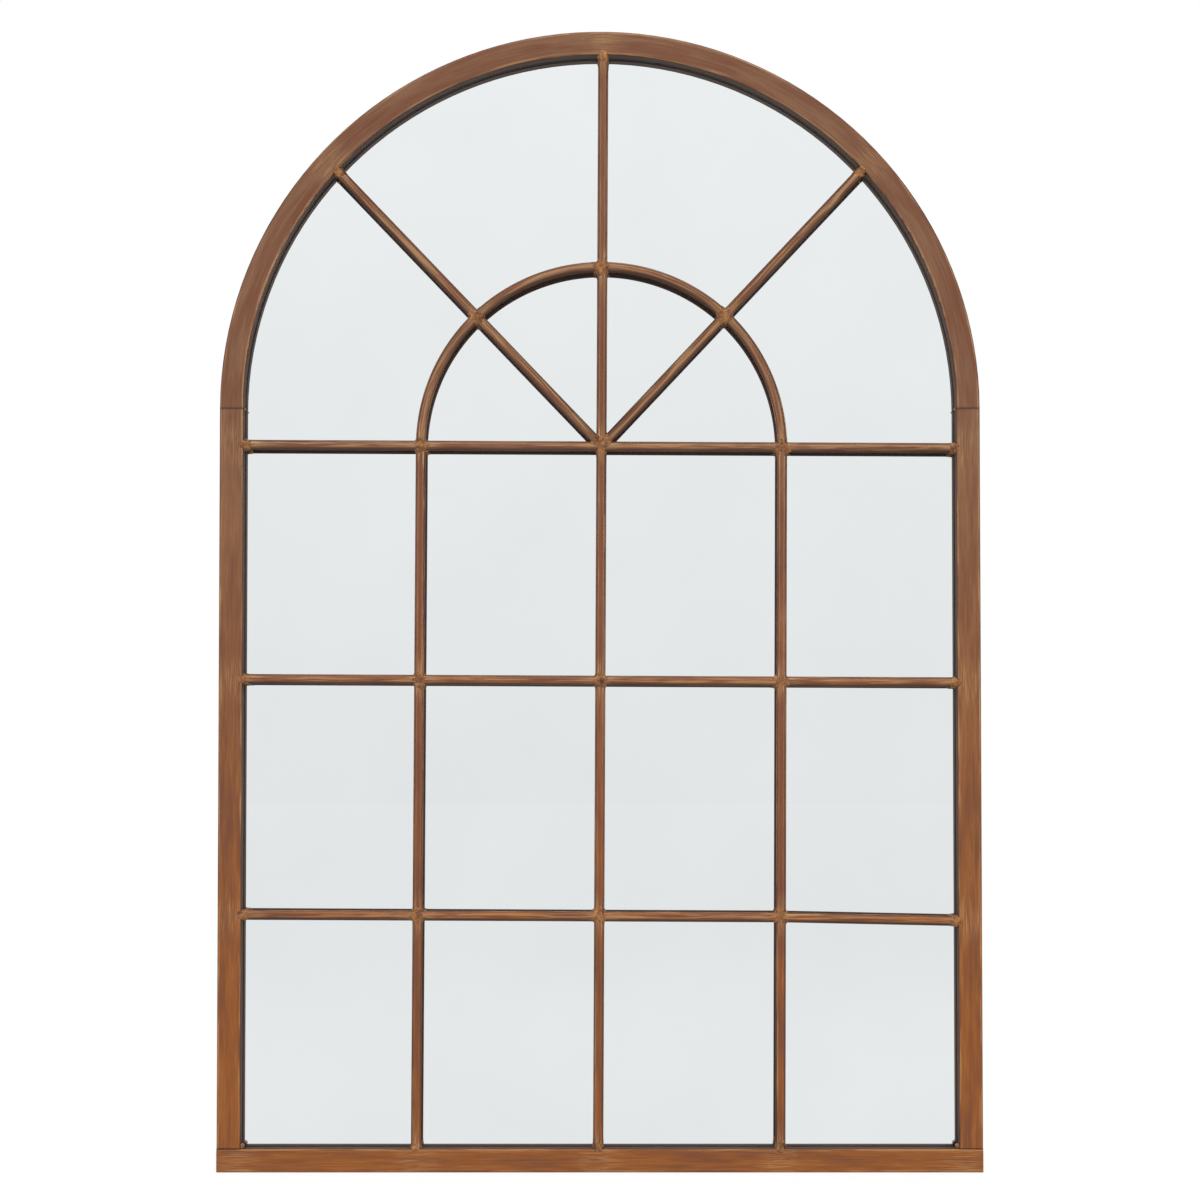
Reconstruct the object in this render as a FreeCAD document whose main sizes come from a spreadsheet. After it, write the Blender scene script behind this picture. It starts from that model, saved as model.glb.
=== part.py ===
import FreeCAD, Part

import math
import os

from FreeCAD import Rotation, Vector
import Sketcher

# An arched window mirror: a welded steel frame in the shape of a round-headed window, with a grille of
# thin round tube in front of one arched sheet of mirror glass. Millimetres. X runs across the mirror,
# the front faces -Y, Z is up. The origin is the middle of the underside of the bottom rail, half way
# through the depth of the frame tube.

doc = FreeCAD.newDocument("arched_window_mirror")

# ---------------------------------------------------------------------------------------------------
# Sizes. Lengths in millimetres, angles in degrees.
# ---------------------------------------------------------------------------------------------------

DRIVING_SIZES = (
    ("overall_width", 800, "outside width over the two stiles"),
    ("overall_height", 1200, "underside of the bottom rail to the crown of the arch"),
    ("tube_width", 25, "frame tube, the face seen from the front"),
    ("tube_depth", 20, "frame tube, front to back"),
    ("tube_wall", 1.5, "wall of the frame tube"),
    ("tube_corner", 2.5, "outside corner radius of the frame tube"),
    ("root_gap", 0.2, "gap between butted tubes, which the weld closes"),
    ("end_plate_thickness", 2, "plate let into each end of the bottom rail"),
    ("end_plate_gap", 0.1, "gap all round that plate"),
    ("bar_diameter", 10.8, "round tube of the grille"),
    ("bar_wall", 1.2, "wall of the round tube"),
    ("pane_height", 236, "clear height of each row of oblong panes"),
    ("spoke_angle_left", 46.0, "left spoke above the transom"),
    ("spoke_angle_right", 47.0, "right spoke above the transom"),
    ("grille_skew", 0.27, "the hand-fitted grille leans this much clockwise in its frame"),
    ("last_bar_droop", 0.9, "extra slope of the bottom right cross bar, welded in by eye"),
    ("weld_leg", 3.8, "how far a weld spreads from the bars it joins"),
    ("weld_crown", 1.7, "how far a weld stands proud of the bars, to the front"),
    ("weld_taper", 0.8, "how wide a weld is at its ends, as a share of its middle"),
    ("end_weld_flare", 2.2, "how far the weld at a bar's end stands out from the bar"),
    ("corner_bead", 3, "radius of the bead in the bottom corners of the frame"),
    ("joint_bead", 1.2, "radius of the bead inside the joints of arch and stiles"),
    ("fan_weld_radius", 11.5, "the large weld where the spokes meet"),
    ("fan_weld_crown", 2.6, "how far that weld stands proud of the bars, to the front"),
    ("fan_weld_rise", 3, "middle of that weld above the transom"),
    ("glass_thickness", 4, "silvered float glass"),
    ("glass_lap", 7, "glass laps over the back of the frame tube"),
    ("tape_thickness", 5, "black foam glazing tape between frame and glass"),
    ("tape_setback", 1, "tape stands back from the daylight edge"),
    ("board_thickness", 3, "hardboard behind the glass"),
    ("board_inset", 1, "board edge inside the glass edge"),
    ("clip_thickness", 1.5, "steel strip of the glass clips"),
    ("clip_width", 15, "width of a glass clip"),
    ("clip_gap", 0.3, "clip stands clear of the glass edge"),
    ("clip_foot", 14.4, "length of the foot on the frame"),
    ("clip_lap", 10, "lap of a clip over the board"),
    ("lower_clip_height", 180, "lower clips on the stiles"),
    ("upper_clip_drop", 180, "upper clips on the stiles, below the spring line"),
    ("rail_clip_offset", 180, "clips on the bottom rail, each side of the middle"),
    ("side_clip_angle", 30, "side clips on the arch, above the spring line"),
    ("fastener_inset", 9, "line of all screws, in from the outside edge of the frame"),
    ("screw_diameter", 4, "shank of every screw"),
    ("screw_length", 10, "under the head"),
    ("screw_point", 2.5, "length of the point"),
    ("screw_head_diameter", 7, "pan head"),
    ("screw_head_height", 2.4, "pan head"),
    ("screw_recess", 1.2, "depth of the cross recess"),
    ("screw_recess_width", 0.9, "width of each slot of the cross"),
    ("screw_clearance", 0.05, "all round a shank in its hole"),
    ("bumper_height", 15, "rubber bumper, frame to wall"),
    ("bumper_base_diameter", 13, "bumper at the frame"),
    ("bumper_wall_diameter", 11, "bumper at the wall"),
    ("bumper_seat", 5, "rubber under the screw head"),
    ("bumper_recess_gap", 0.3, "recess round the screw head"),
    ("bumper_offset", 350, "bottom bumpers, each side of the middle"),
    ("bumper_angle", 55, "top bumpers on the arch, above the spring line"),
    ("hanger_drop", 20, "hanger pivot below the spring line"),
    ("strap_width", 9, "hanger strap"),
    ("strap_thickness", 1.5, "hanger strap"),
    ("strap_length", 34, "pivot to the middle of the round end"),
    ("strap_screw_pitch", 12, "between the two strap screws"),
    ("ring_wire", 2.5, "wire of the hanger ring"),
    ("ring_clearance", 0.1, "all round the wire in its eye"),
    ("ring_width", 13, "hanger ring, middle to middle of its legs"),
    ("ring_bend", 1.5, "bend radius at the two top corners of the ring"),
    ("ring_leg", 3.5, "straight leg of the ring"),
    ("ring_rest_tilt", 1.5, "the hanging ring leans out on its strap"),
)

WORKED_OUT_SIZES = (
    ("arch_radius", "=overall_width / 2", "outside radius of the arch"),
    ("spring_height", "=overall_height - arch_radius", "where the arch starts"),
    ("upper_clip_height", "=spring_height - upper_clip_drop", "upper clips on the stiles"),
    ("stile_line", "=(overall_width - tube_width) / 2", "middle of a stile from the middle"),
    ("daylight_half", "=overall_width / 2 - tube_width", "half the clear width inside the frame"),
    ("bar_radius", "=bar_diameter / 2", "round tube"),
    ("bar_line", "=bar_radius - tube_depth / 2", "middle of the bars: flush with the frame in front"),
    ("pane_width", "=(daylight_half * 2 - bar_diameter * 3) / 4", "clear width of an oblong pane"),
    ("bar_pitch", "=pane_width + bar_diameter", "between mullions, and radius of the inner arch"),
    ("lower_row", "=tube_width + pane_height + bar_radius", "middle of the lower cross bars"),
    ("middle_row", "=lower_row + pane_height + bar_diameter", "middle of the upper cross bars"),
    ("transom_line", "=middle_row + pane_height + bar_diameter", "middle of the transom"),
    ("glass_half", "=daylight_half + glass_lap", "half the width of the glass"),
    ("glass_foot", "=tube_width - glass_lap", "bottom edge of the glass"),
    ("frame_back", "=tube_depth / 2", "back of the frame tube"),
    ("glass_front", "=frame_back + tape_thickness", "front of the glass"),
    ("board_front", "=glass_front + glass_thickness", "front of the board"),
    ("clip_height", "=tape_thickness + glass_thickness + board_thickness", "under a clip's lap"),
    ("fastener_line", "=overall_width / 2 - fastener_inset", "line of the screws on the stiles"),
    ("clip_screw_reach", "=fastener_line - glass_half", "screw outside the glass edge"),
    ("eye_radius", "=ring_wire / 2 + ring_clearance", "eye of the hanger strap"),
    ("pivot_line", "=frame_back + strap_thickness + eye_radius", "axis of the hanger ring"),
    ("pivot_height", "=spring_height - hanger_drop", "axis of the hanger ring"),
)

sizes = doc.addObject("Spreadsheet::Sheet", "Sizes")
for row, (alias, value, meaning) in enumerate(DRIVING_SIZES + WORKED_OUT_SIZES, start=1):
    sizes.set(f"A{row}", meaning)
    sizes.set(f"B{row}", str(value))
    sizes.setAlias(f"B{row}", alias)
doc.recompute()


def size(alias):
    """The number in a named cell."""
    return float(sizes.get(alias))


# ---------------------------------------------------------------------------------------------------
# Helpers for placing and joining
# ---------------------------------------------------------------------------------------------------

UNTURNED = "rotation(vector(0; 0; 1); 0)"


def turned(angle):
    """A turn in the plane of the mirror, clockwise as seen from the front."""
    return f"rotation(vector(0; 1; 0); {angle})"


def place(piece, x="0", y="0", z="0", turn=UNTURNED, datum=""):
    """Bind a piece's Placement to the sheet."""
    piece.setExpression(".Placement", f"{datum}placement(vector({x}; {y}; {z}); {turn})")
    return piece


def bind(piece, **properties):
    for name, expression in properties.items():
        piece.setExpression(name, expression)
    return piece


def cut(name, base, tool):
    result = doc.addObject("Part::Cut", name)
    result.Base = base
    result.Tool = tool
    return result


def cut_all(name, base, tools):
    """Cut several tools from a base, one after the other; the last cut carries the name."""
    result = base
    for number, tool in enumerate(tools, start=1):
        result = cut(name if number == len(tools) else f"{name}_cut_{number}", result, tool)
    return result


def fuse(name, shapes):
    result = doc.addObject("Part::MultiFuse", name)
    result.Shapes = shapes
    result.Refine = True
    return result


def common(name, shapes):
    result = doc.addObject("Part::MultiCommon", name)
    result.Shapes = shapes
    return result


def cylinder(name, radius, height):
    return bind(doc.addObject("Part::Cylinder", name), Radius=radius, Height=height)


def block(name, length, width, height):
    return bind(doc.addObject("Part::Box", name), Length=length, Width=width, Height=height)


nodes = []


def node(piece, label):
    """Name a finished sub-part and put it on the list of parts."""
    piece.Label = label
    nodes.append(piece)
    return piece


# ---------------------------------------------------------------------------------------------------
# Helpers for bodies and sketches
# ---------------------------------------------------------------------------------------------------


def new_body(name):
    return doc.addObject("PartDesign::Body", name)


def origin_feature(body, role):
    for feature in body.Origin.OriginFeatures:
        if feature.Role == role:
            return feature
    raise ValueError(f"no {role} in {body.Name}")


def new_sketch(body, name, plane):
    sketch = body.newObject("Sketcher::SketchObject", name)
    sketch.AttachmentSupport = [(origin_feature(body, plane), "")]
    sketch.MapMode = "FlatFace"
    return sketch


def dimension(sketch, name, expression, *constraint):
    """Add a dimension with a name and bind it to the sheet."""
    index = sketch.addConstraint(Sketcher.Constraint(*constraint))
    sketch.renameConstraint(index, name)
    sketch.setExpression(f"Constraints.{name}", expression)


ORIGIN_POINT = (-1, 1)
VERTICAL_AXIS = -2
START, END, CENTRE = range(1, 4)


def draw_section(sketch, width, depth, corner):
    """A rounded oblong about the sketch's origin: the outline of the frame tube or of its bore."""
    half_x, half_y, radius = 12, 9, 2
    inner_x, inner_y = half_x - radius, half_y - radius
    corners = ((inner_x, -inner_y), (inner_x, inner_y), (-inner_x, inner_y), (-inner_x, -inner_y))
    sides = (
        ((-inner_x, -half_y), (inner_x, -half_y)),
        ((half_x, -inner_y), (half_x, inner_y)),
        ((inner_x, half_y), (-inner_x, half_y)),
        ((-half_x, inner_y), (-half_x, -inner_y)),
    )
    for (x1, y1), (x2, y2) in sides:
        sketch.addGeometry(Part.LineSegment(Vector(x1, y1), Vector(x2, y2)))
    for number, (x, y) in enumerate(corners):
        start = math.radians(number * 90 - 90)
        end = math.radians(number * 90)
        circle = Part.Circle(Vector(x, y), Vector(0, 0, 1), radius)
        sketch.addGeometry(Part.ArcOfCircle(circle, start, end))
    for number in range(4):
        arc = 4 + number
        sketch.addConstraint(Sketcher.Constraint("Tangent", number, END, arc, START))
        sketch.addConstraint(Sketcher.Constraint("Tangent", arc, END, (number + 1) % 4, START))
        if number:
            sketch.addConstraint(Sketcher.Constraint("Equal", 4, arc))
    for side in range(4):
        sketch.addConstraint(Sketcher.Constraint("Vertical" if side % 2 else "Horizontal", side))
    sketch.addConstraint(Sketcher.Constraint("Symmetric", 4, CENTRE, 6, CENTRE, *ORIGIN_POINT))
    dimension(sketch, "corner", corner, "Radius", 4, radius)
    dimension(sketch, "width", width, "DistanceX", 3, START, 1, START, 2 * half_x)
    dimension(sketch, "depth", depth, "DistanceY", 0, START, 2, START, 2 * half_y)


def draw_arch(sketch, half_width, foot, spring, guess):
    """A round-headed outline: a foot line, two straight sides and a half circle over them."""
    half, low, high = guess
    first = sketch.GeometryCount
    foot_line, right, arc, left = first, first + 1, first + 2, first + 3
    sketch.addGeometry(Part.LineSegment(Vector(-half, low), Vector(half, low)))
    sketch.addGeometry(Part.LineSegment(Vector(half, low), Vector(half, high)))
    half_turn = math.pi
    sketch.addGeometry(Part.ArcOfCircle(Part.Circle(Vector(0, high), Vector(0, 0, 1), half), 0, half_turn))
    sketch.addGeometry(Part.LineSegment(Vector(-half, high), Vector(-half, low)))
    sketch.addConstraint(Sketcher.Constraint("Coincident", foot_line, END, right, START))
    sketch.addConstraint(Sketcher.Constraint("Tangent", right, END, arc, START))
    sketch.addConstraint(Sketcher.Constraint("Tangent", arc, END, left, START))
    sketch.addConstraint(Sketcher.Constraint("Coincident", left, END, foot_line, START))
    sketch.addConstraint(Sketcher.Constraint("Vertical", right))
    sketch.addConstraint(
        Sketcher.Constraint("Symmetric", foot_line, START, foot_line, END, VERTICAL_AXIS))
    sketch.addConstraint(Sketcher.Constraint("PointOnObject", arc, CENTRE, VERTICAL_AXIS))
    tag = f"{first}"
    dimension(sketch, f"half_width_{tag}", half_width, "DistanceX", *ORIGIN_POINT, foot_line, END, half)
    dimension(sketch, f"foot_{tag}", foot, "DistanceY", *ORIGIN_POINT, foot_line, END, low)
    dimension(sketch, f"spring_{tag}", spring, "DistanceY", *ORIGIN_POINT, arc, CENTRE, high)


def pad(body, name, sketch, length, midplane=False, reverse=False):
    feature = body.newObject("PartDesign::Pad", name)
    feature.Profile = sketch
    feature.Midplane = midplane
    feature.Reversed = reverse
    feature.setExpression("Length", length)
    sketch.Visibility = False
    return feature


def bore_through(body, name, sketch):
    """Open a padded solid from end to end, along the same direction as its pad."""
    feature = body.newObject("PartDesign::Pocket", name)
    feature.Profile = sketch
    feature.Type = "ThroughAll"
    feature.Reversed = True
    sketch.Visibility = False
    return feature


def back_holes(body, name, spots, diameter="Sizes.screw_diameter + 2 * Sizes.screw_clearance"):
    """Screw holes in the back wall of a frame tube, at spots given across and up from its origin."""
    sketch = new_sketch(body, f"{name}_spots", "XZ_Plane")
    for number, (across, up) in enumerate(spots):
        guess = Vector(sizes.evalExpression(across), sizes.evalExpression(up))
        sketch.addGeometry(Part.Circle(guess, Vector(0, 0, 1), size("screw_diameter") / 2))
        dimension(sketch, f"hole_{number}", diameter, "Diameter", number, size("screw_diameter"))
        dimension(sketch, f"across_{number}", across, "DistanceX", *ORIGIN_POINT, number, CENTRE, guess.x)
        dimension(sketch, f"up_{number}", up, "DistanceY", *ORIGIN_POINT, number, CENTRE, guess.y)
    feature = body.newObject("PartDesign::Pocket", name)
    feature.Profile = sketch
    feature.setExpression("Length", "Sizes.tube_depth")
    sketch.Visibility = False
    return feature


# ---------------------------------------------------------------------------------------------------
# The frame: four lengths of oblong steel tube, butted and welded
# ---------------------------------------------------------------------------------------------------

TUBE_OUTSIDE = ("Sizes.tube_width", "Sizes.tube_depth", "Sizes.tube_corner")
TUBE_BORE = (
    "Sizes.tube_width - 2 * Sizes.tube_wall",
    "Sizes.tube_depth - 2 * Sizes.tube_wall",
    "Sizes.tube_corner - Sizes.tube_wall",
)

# Every fastener sits on a spot on the back of the frame: across, up, and the direction outwards.
RIGHT_EDGE = "Sizes.glass_half"
LEFT_EDGE = "-Sizes.glass_half"


def on_arch(radius, angle):
    across = f"{radius} * cos({angle})"
    up = f"Sizes.spring_height + {radius} * sin({angle})"
    return across, up, angle


STILE_CLIPS = {
    "right": (
        (RIGHT_EDGE, "Sizes.lower_clip_height", "0"),
        (RIGHT_EDGE, "Sizes.upper_clip_height", "0"),
    ),
    "left": (
        (LEFT_EDGE, "Sizes.lower_clip_height", "180"),
        (LEFT_EDGE, "Sizes.upper_clip_height", "180"),
    ),
}
ARCH_CLIPS = (
    on_arch("Sizes.glass_half", "Sizes.side_clip_angle"),
    on_arch("Sizes.glass_half", "90"),
    on_arch("Sizes.glass_half", "(180 - Sizes.side_clip_angle)"),
)
RAIL_CLIPS = (
    ("Sizes.rail_clip_offset", "Sizes.glass_foot", "-90"),
    ("-Sizes.rail_clip_offset", "Sizes.glass_foot", "-90"),
)
ARCH_BUMPERS = (
    on_arch("Sizes.fastener_line", "Sizes.bumper_angle"),
    on_arch("Sizes.fastener_line", "(180 - Sizes.bumper_angle)"),
)
RAIL_BUMPERS = (
    ("Sizes.bumper_offset", "Sizes.fastener_inset", "-90"),
    ("-Sizes.bumper_offset", "Sizes.fastener_inset", "-90"),
)


def screw_spot(clip_spot):
    """Where the screw of a clip goes: straight out from the glass edge."""
    across, up, angle = clip_spot
    reach = "Sizes.clip_screw_reach"
    return f"{across} + {reach} * cos({angle})", f"{up} + {reach} * sin({angle})"


def hanger_spots(side):
    """The two screws of a hanger strap, below its pivot."""
    first = "Sizes.pivot_height - Sizes.strap_length"
    return (
        (f"{side}Sizes.fastener_line", first),
        (f"{side}Sizes.fastener_line", f"{first} + Sizes.strap_screw_pitch"),
    )


def from_origin(spots, across, up):
    """Spots of the whole mirror, given from the origin of one member."""
    return [(f"{x} - ({across})", f"{z} - ({up})") for x, z in spots]


def make_stile(name, side, clips):
    """An upright: from the top of the bottom rail to the foot of the arch."""
    body = new_body(name)
    across, foot = f"{side}Sizes.stile_line", "Sizes.tube_width + Sizes.root_gap"
    length = "Sizes.spring_height - Sizes.tube_width - 2 * Sizes.root_gap"
    outside = new_sketch(body, f"{name}_outside", "XY_Plane")
    draw_section(outside, *TUBE_OUTSIDE)
    solid = pad(body, f"{name}_solid", outside, length)
    bore = new_sketch(body, f"{name}_bore_outline", "XY_Plane")
    draw_section(bore, *TUBE_BORE)
    bore_through(body, f"{name}_bore", bore)
    doc.recompute()
    spots = [screw_spot(spot) for spot in clips] + list(hanger_spots(side))
    back_holes(body, f"{name}_holes", from_origin(spots, across, foot))
    place(body, across, "0", foot)
    return node(body, name), solid


def make_bottom_rail():
    """The bottom rail runs the full width; both stiles stand on it."""
    name = "bottom_rail"
    body = new_body(name)
    outside = new_sketch(body, f"{name}_outside", "YZ_Plane")
    draw_section(outside, TUBE_OUTSIDE[1], TUBE_OUTSIDE[0], TUBE_OUTSIDE[2])
    solid = pad(body, f"{name}_solid", outside, "Sizes.overall_width")
    bore = new_sketch(body, f"{name}_bore_outline", "YZ_Plane")
    draw_section(bore, TUBE_BORE[1], TUBE_BORE[0], TUBE_BORE[2])
    bore_through(body, f"{name}_bore", bore)
    doc.recompute()
    across, up = "-Sizes.overall_width / 2", "Sizes.tube_width / 2"
    spots = [screw_spot(spot) for spot in RAIL_CLIPS] + [spot[:2] for spot in RAIL_BUMPERS]
    back_holes(body, f"{name}_holes", from_origin(spots, across, up))
    place(body, across, "0", up)
    return node(body, name), solid


def make_arch_rail():
    """The same tube rolled to a half circle, from stile to stile over the top."""
    name = "arch_rail"
    body = new_body(name)
    middle = "Sizes.arch_radius - Sizes.tube_width / 2"
    rings = {}
    for part, section in (("outside", TUBE_OUTSIDE), ("bore", TUBE_BORE)):
        sketch = new_sketch(body, f"{name}_{part}_outline", "XY_Plane")
        draw_section(sketch, *section)
        sketch.setExpression(".AttachmentOffset.Base.x", middle)
        kind = "PartDesign::Revolution" if part == "outside" else "PartDesign::Groove"
        ring = body.newObject(kind, f"{name}_{part}")
        ring.Profile = sketch
        ring.ReferenceAxis = (origin_feature(body, "Y_Axis"), [""])
        ring.Angle = 180
        ring.Reversed = True
        sketch.Visibility = False
        doc.recompute()
        rings[part] = ring
    spots = [screw_spot(spot) for spot in ARCH_CLIPS] + [spot[:2] for spot in ARCH_BUMPERS]
    back_holes(body, f"{name}_holes", from_origin(spots, "0", "Sizes.spring_height"))
    place(body, "0", "0", "Sizes.spring_height")
    return node(body, name), rings["outside"]


left_stile, left_stile_solid = make_stile("left_stile", "-", STILE_CLIPS["left"])
right_stile, right_stile_solid = make_stile("right_stile", "", STILE_CLIPS["right"])
bottom_rail, bottom_rail_solid = make_bottom_rail()
arch_rail, arch_rail_solid = make_arch_rail()

# A plate let into each end of the bottom rail closes it.
end_plate = new_body("end_plate")
end_plate_outline = new_sketch(end_plate, "end_plate_outline", "YZ_Plane")
draw_section(
    end_plate_outline,
    f"{TUBE_BORE[1]} - 2 * Sizes.end_plate_gap",
    f"{TUBE_BORE[0]} - 2 * Sizes.end_plate_gap",
    f"{TUBE_BORE[2]} - Sizes.end_plate_gap",
)
pad(end_plate, "end_plate_solid", end_plate_outline, "Sizes.end_plate_thickness")


def copies(name, master, places):
    """A group of identical pieces: one link to the master for each place."""
    group = doc.addObject("Part::Compound", name)
    links = []
    for number, (x, y, z, turn) in enumerate(places, start=1):
        link = doc.addObject("App::Link", f"{name}_{number}")
        link.LinkedObject = master
        place(link, x, y, z, turn)
        links.append(link)
    group.Links = links
    return node(group, name)


copies("rail_end_plates", end_plate, (
    ("-Sizes.overall_width / 2", "0", "Sizes.tube_width / 2", UNTURNED),
    ("Sizes.overall_width / 2 - Sizes.end_plate_thickness", "0", "Sizes.tube_width / 2", UNTURNED),
))

# ---------------------------------------------------------------------------------------------------
# The grille: round tube, tacked up flat on a bench and welded into the frame a little askew
# ---------------------------------------------------------------------------------------------------

# All bars are placed from this datum, which turns them together about the middle of the mullions.
grille_datum = doc.addObject("App::Placement", "GrilleDatum")
turning_point = "vector(0; 0; (Sizes.tube_width + Sizes.transom_line) / 2)"
grille_datum.setExpression(
    ".Placement",
    f"placement({turning_point}; {turned('Sizes.grille_skew')}) * placement(-{turning_point}; {UNTURNED})")
IN_GRILLE = "GrilleDatum.Placement * "

# The clear opening of the frame, as a solid: bars that reach the frame are trimmed to it.
daylight = new_body("daylight")
daylight_outline = new_sketch(daylight, "daylight_outline", "XZ_Plane")
draw_arch(
    daylight_outline,
    "Sizes.daylight_half - Sizes.root_gap",
    "Sizes.tube_width + Sizes.root_gap",
    "Sizes.spring_height",
    (size("daylight_half"), size("tube_width"), size("spring_height")),
)
pad(daylight, "daylight_solid", daylight_outline, "Sizes.tube_depth * 3", midplane=True)
OVERRUN = "Sizes.bar_diameter * 2"

rods = {}


def grille_piece(name, outside, bore, x, z, turn, fitted_to, reaches_frame):
    """A tube of the grille: hollow, coped round the bars it is fitted to, trimmed at the frame."""
    for shape in (outside, bore):
        place(shape, x, "Sizes.bar_line", z, turn, IN_GRILLE)
    rods[name] = outside
    coped = cut_all(f"{name}_coped", outside, [bore] + [rods[other] for other in fitted_to])
    finished = common(f"{name}_trimmed", [coped, daylight]) if reaches_frame else coped
    return node(finished, name)


def straight_bar(name, length, x, z, lean, fitted_to=(), reaches_frame=False):
    outside = cylinder(f"{name}_outside", "Sizes.bar_radius", length)
    bore = cylinder(f"{name}_bore", "Sizes.bar_radius - Sizes.bar_wall", length)
    return grille_piece(name, outside, bore, x, z, turned(lean), fitted_to, reaches_frame)


ALONG = "90"
UPRIGHT = "0"

straight_bar(
    "transom", f"2 * (Sizes.daylight_half + {OVERRUN})",
    f"-Sizes.daylight_half - {OVERRUN}", "Sizes.transom_line", ALONG, (), True)

MULLIONS = (
    ("left_mullion", "-Sizes.bar_pitch"),
    ("centre_mullion", "0"),
    ("right_mullion", "Sizes.bar_pitch"),
)
for name, x in MULLIONS:
    straight_bar(
        name, f"Sizes.transom_line - Sizes.tube_width + {OVERRUN}",
        x, f"Sizes.tube_width - {OVERRUN}", UPRIGHT, ("transom",), True)

for row in ("middle", "lower"):
    height = f"Sizes.{row}_row"
    outer_length = f"Sizes.daylight_half - Sizes.bar_pitch + {OVERRUN}"
    droop = f"{ALONG} + Sizes.last_bar_droop" if row == "lower" else ALONG
    straight_bar(
        f"{row}_bar_far_left", outer_length,
        f"-Sizes.daylight_half - {OVERRUN}", height, ALONG, ("left_mullion",), True)
    straight_bar(
        f"{row}_bar_left", "Sizes.bar_pitch",
        "-Sizes.bar_pitch", height, ALONG, ("left_mullion", "centre_mullion"))
    straight_bar(
        f"{row}_bar_right", "Sizes.bar_pitch",
        "0", height, ALONG, ("centre_mullion", "right_mullion"))
    straight_bar(
        f"{row}_bar_far_right", outer_length,
        "Sizes.bar_pitch", height, droop, ("right_mullion",), True)

# Above the transom: an upright and two spokes from its middle to the arch.
SPOKE_START = "Sizes.bar_radius / 2"


def spoke(name, side, angle, fitted_to):
    """A spoke starts just outside the middle of the transom, so that its coped end has no sliver."""
    start_x = f"{side}{SPOKE_START} * cos({angle})"
    start_z = f"Sizes.transom_line + {SPOKE_START} * sin({angle})"
    lean = f"{side}(90 - {angle})"
    length = f"Sizes.daylight_half + Sizes.spring_height - Sizes.transom_line + {OVERRUN}"
    straight_bar(name, length, start_x, start_z, lean, fitted_to, True)


spoke("king_bar", "", "90", ("transom",))
spoke("left_spoke", "-", "Sizes.spoke_angle_left", ("transom", "king_bar"))
spoke("right_spoke", "", "Sizes.spoke_angle_right", ("transom", "king_bar"))


def inner_arch_piece(name, start, sweep, fitted_to):
    """A length of the inner half circle, bent from the same tube, between two neighbouring bars."""
    shapes = []
    for part, radius in (("outside", "Sizes.bar_radius"), ("bore", "Sizes.bar_radius - Sizes.bar_wall")):
        ring = doc.addObject("Part::Torus", f"{name}_{part}")
        shapes.append(bind(ring, Radius1="Sizes.bar_pitch", Radius2=radius, Angle3=sweep))
    turn = f"rotation(vector(1; 0; 0); 90) * rotation(vector(0; 0; 1); {start})"
    return grille_piece(name, shapes[0], shapes[1], "0", "Sizes.transom_line", turn, fitted_to, False)


inner_arch_piece(
    "inner_arch_far_right", "0", "Sizes.spoke_angle_right", ("transom", "right_spoke"))
inner_arch_piece(
    "inner_arch_right", "Sizes.spoke_angle_right", "90 - Sizes.spoke_angle_right",
    ("right_spoke", "king_bar"))
inner_arch_piece(
    "inner_arch_left", "90", "90 - Sizes.spoke_angle_left", ("king_bar", "left_spoke"))
inner_arch_piece(
    "inner_arch_far_left", "180 - Sizes.spoke_angle_left", "Sizes.spoke_angle_left",
    ("left_spoke", "transom"))

# ---------------------------------------------------------------------------------------------------
# Behind the frame: foam tape, mirror glass, hardboard, and the clips that hold them
# ---------------------------------------------------------------------------------------------------


def arch_sheet(name, half_width, foot, back, thickness, opening=()):
    """A flat arched sheet, or a band when it has an opening, with its back face at the given depth."""
    body = new_body(f"{name}_body")
    outline = new_sketch(body, f"{name}_outline", "XZ_Plane")
    guess = (size("glass_half"), size("glass_foot"), size("spring_height"))
    draw_arch(outline, half_width, foot, "Sizes.spring_height", guess)
    if opening:
        inner_guess = (size("daylight_half"), size("tube_width"), size("spring_height"))
        draw_arch(outline, *opening, "Sizes.spring_height", inner_guess)
    pad(body, f"{name}_solid", outline, thickness)
    place(body, "0", back, "0")
    return node(body, name)


arch_sheet(
    "glazing_tape", "Sizes.glass_half", "Sizes.glass_foot", "Sizes.glass_front", "Sizes.tape_thickness",
    ("Sizes.daylight_half + Sizes.tape_setback", "Sizes.tube_width - Sizes.tape_setback"))
arch_sheet(
    "mirror_glass", "Sizes.glass_half", "Sizes.glass_foot", "Sizes.board_front", "Sizes.glass_thickness")
arch_sheet(
    "backing_board", "Sizes.glass_half - Sizes.board_inset", "Sizes.glass_foot + Sizes.board_inset",
    "Sizes.board_front + Sizes.board_thickness", "Sizes.board_thickness")


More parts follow.
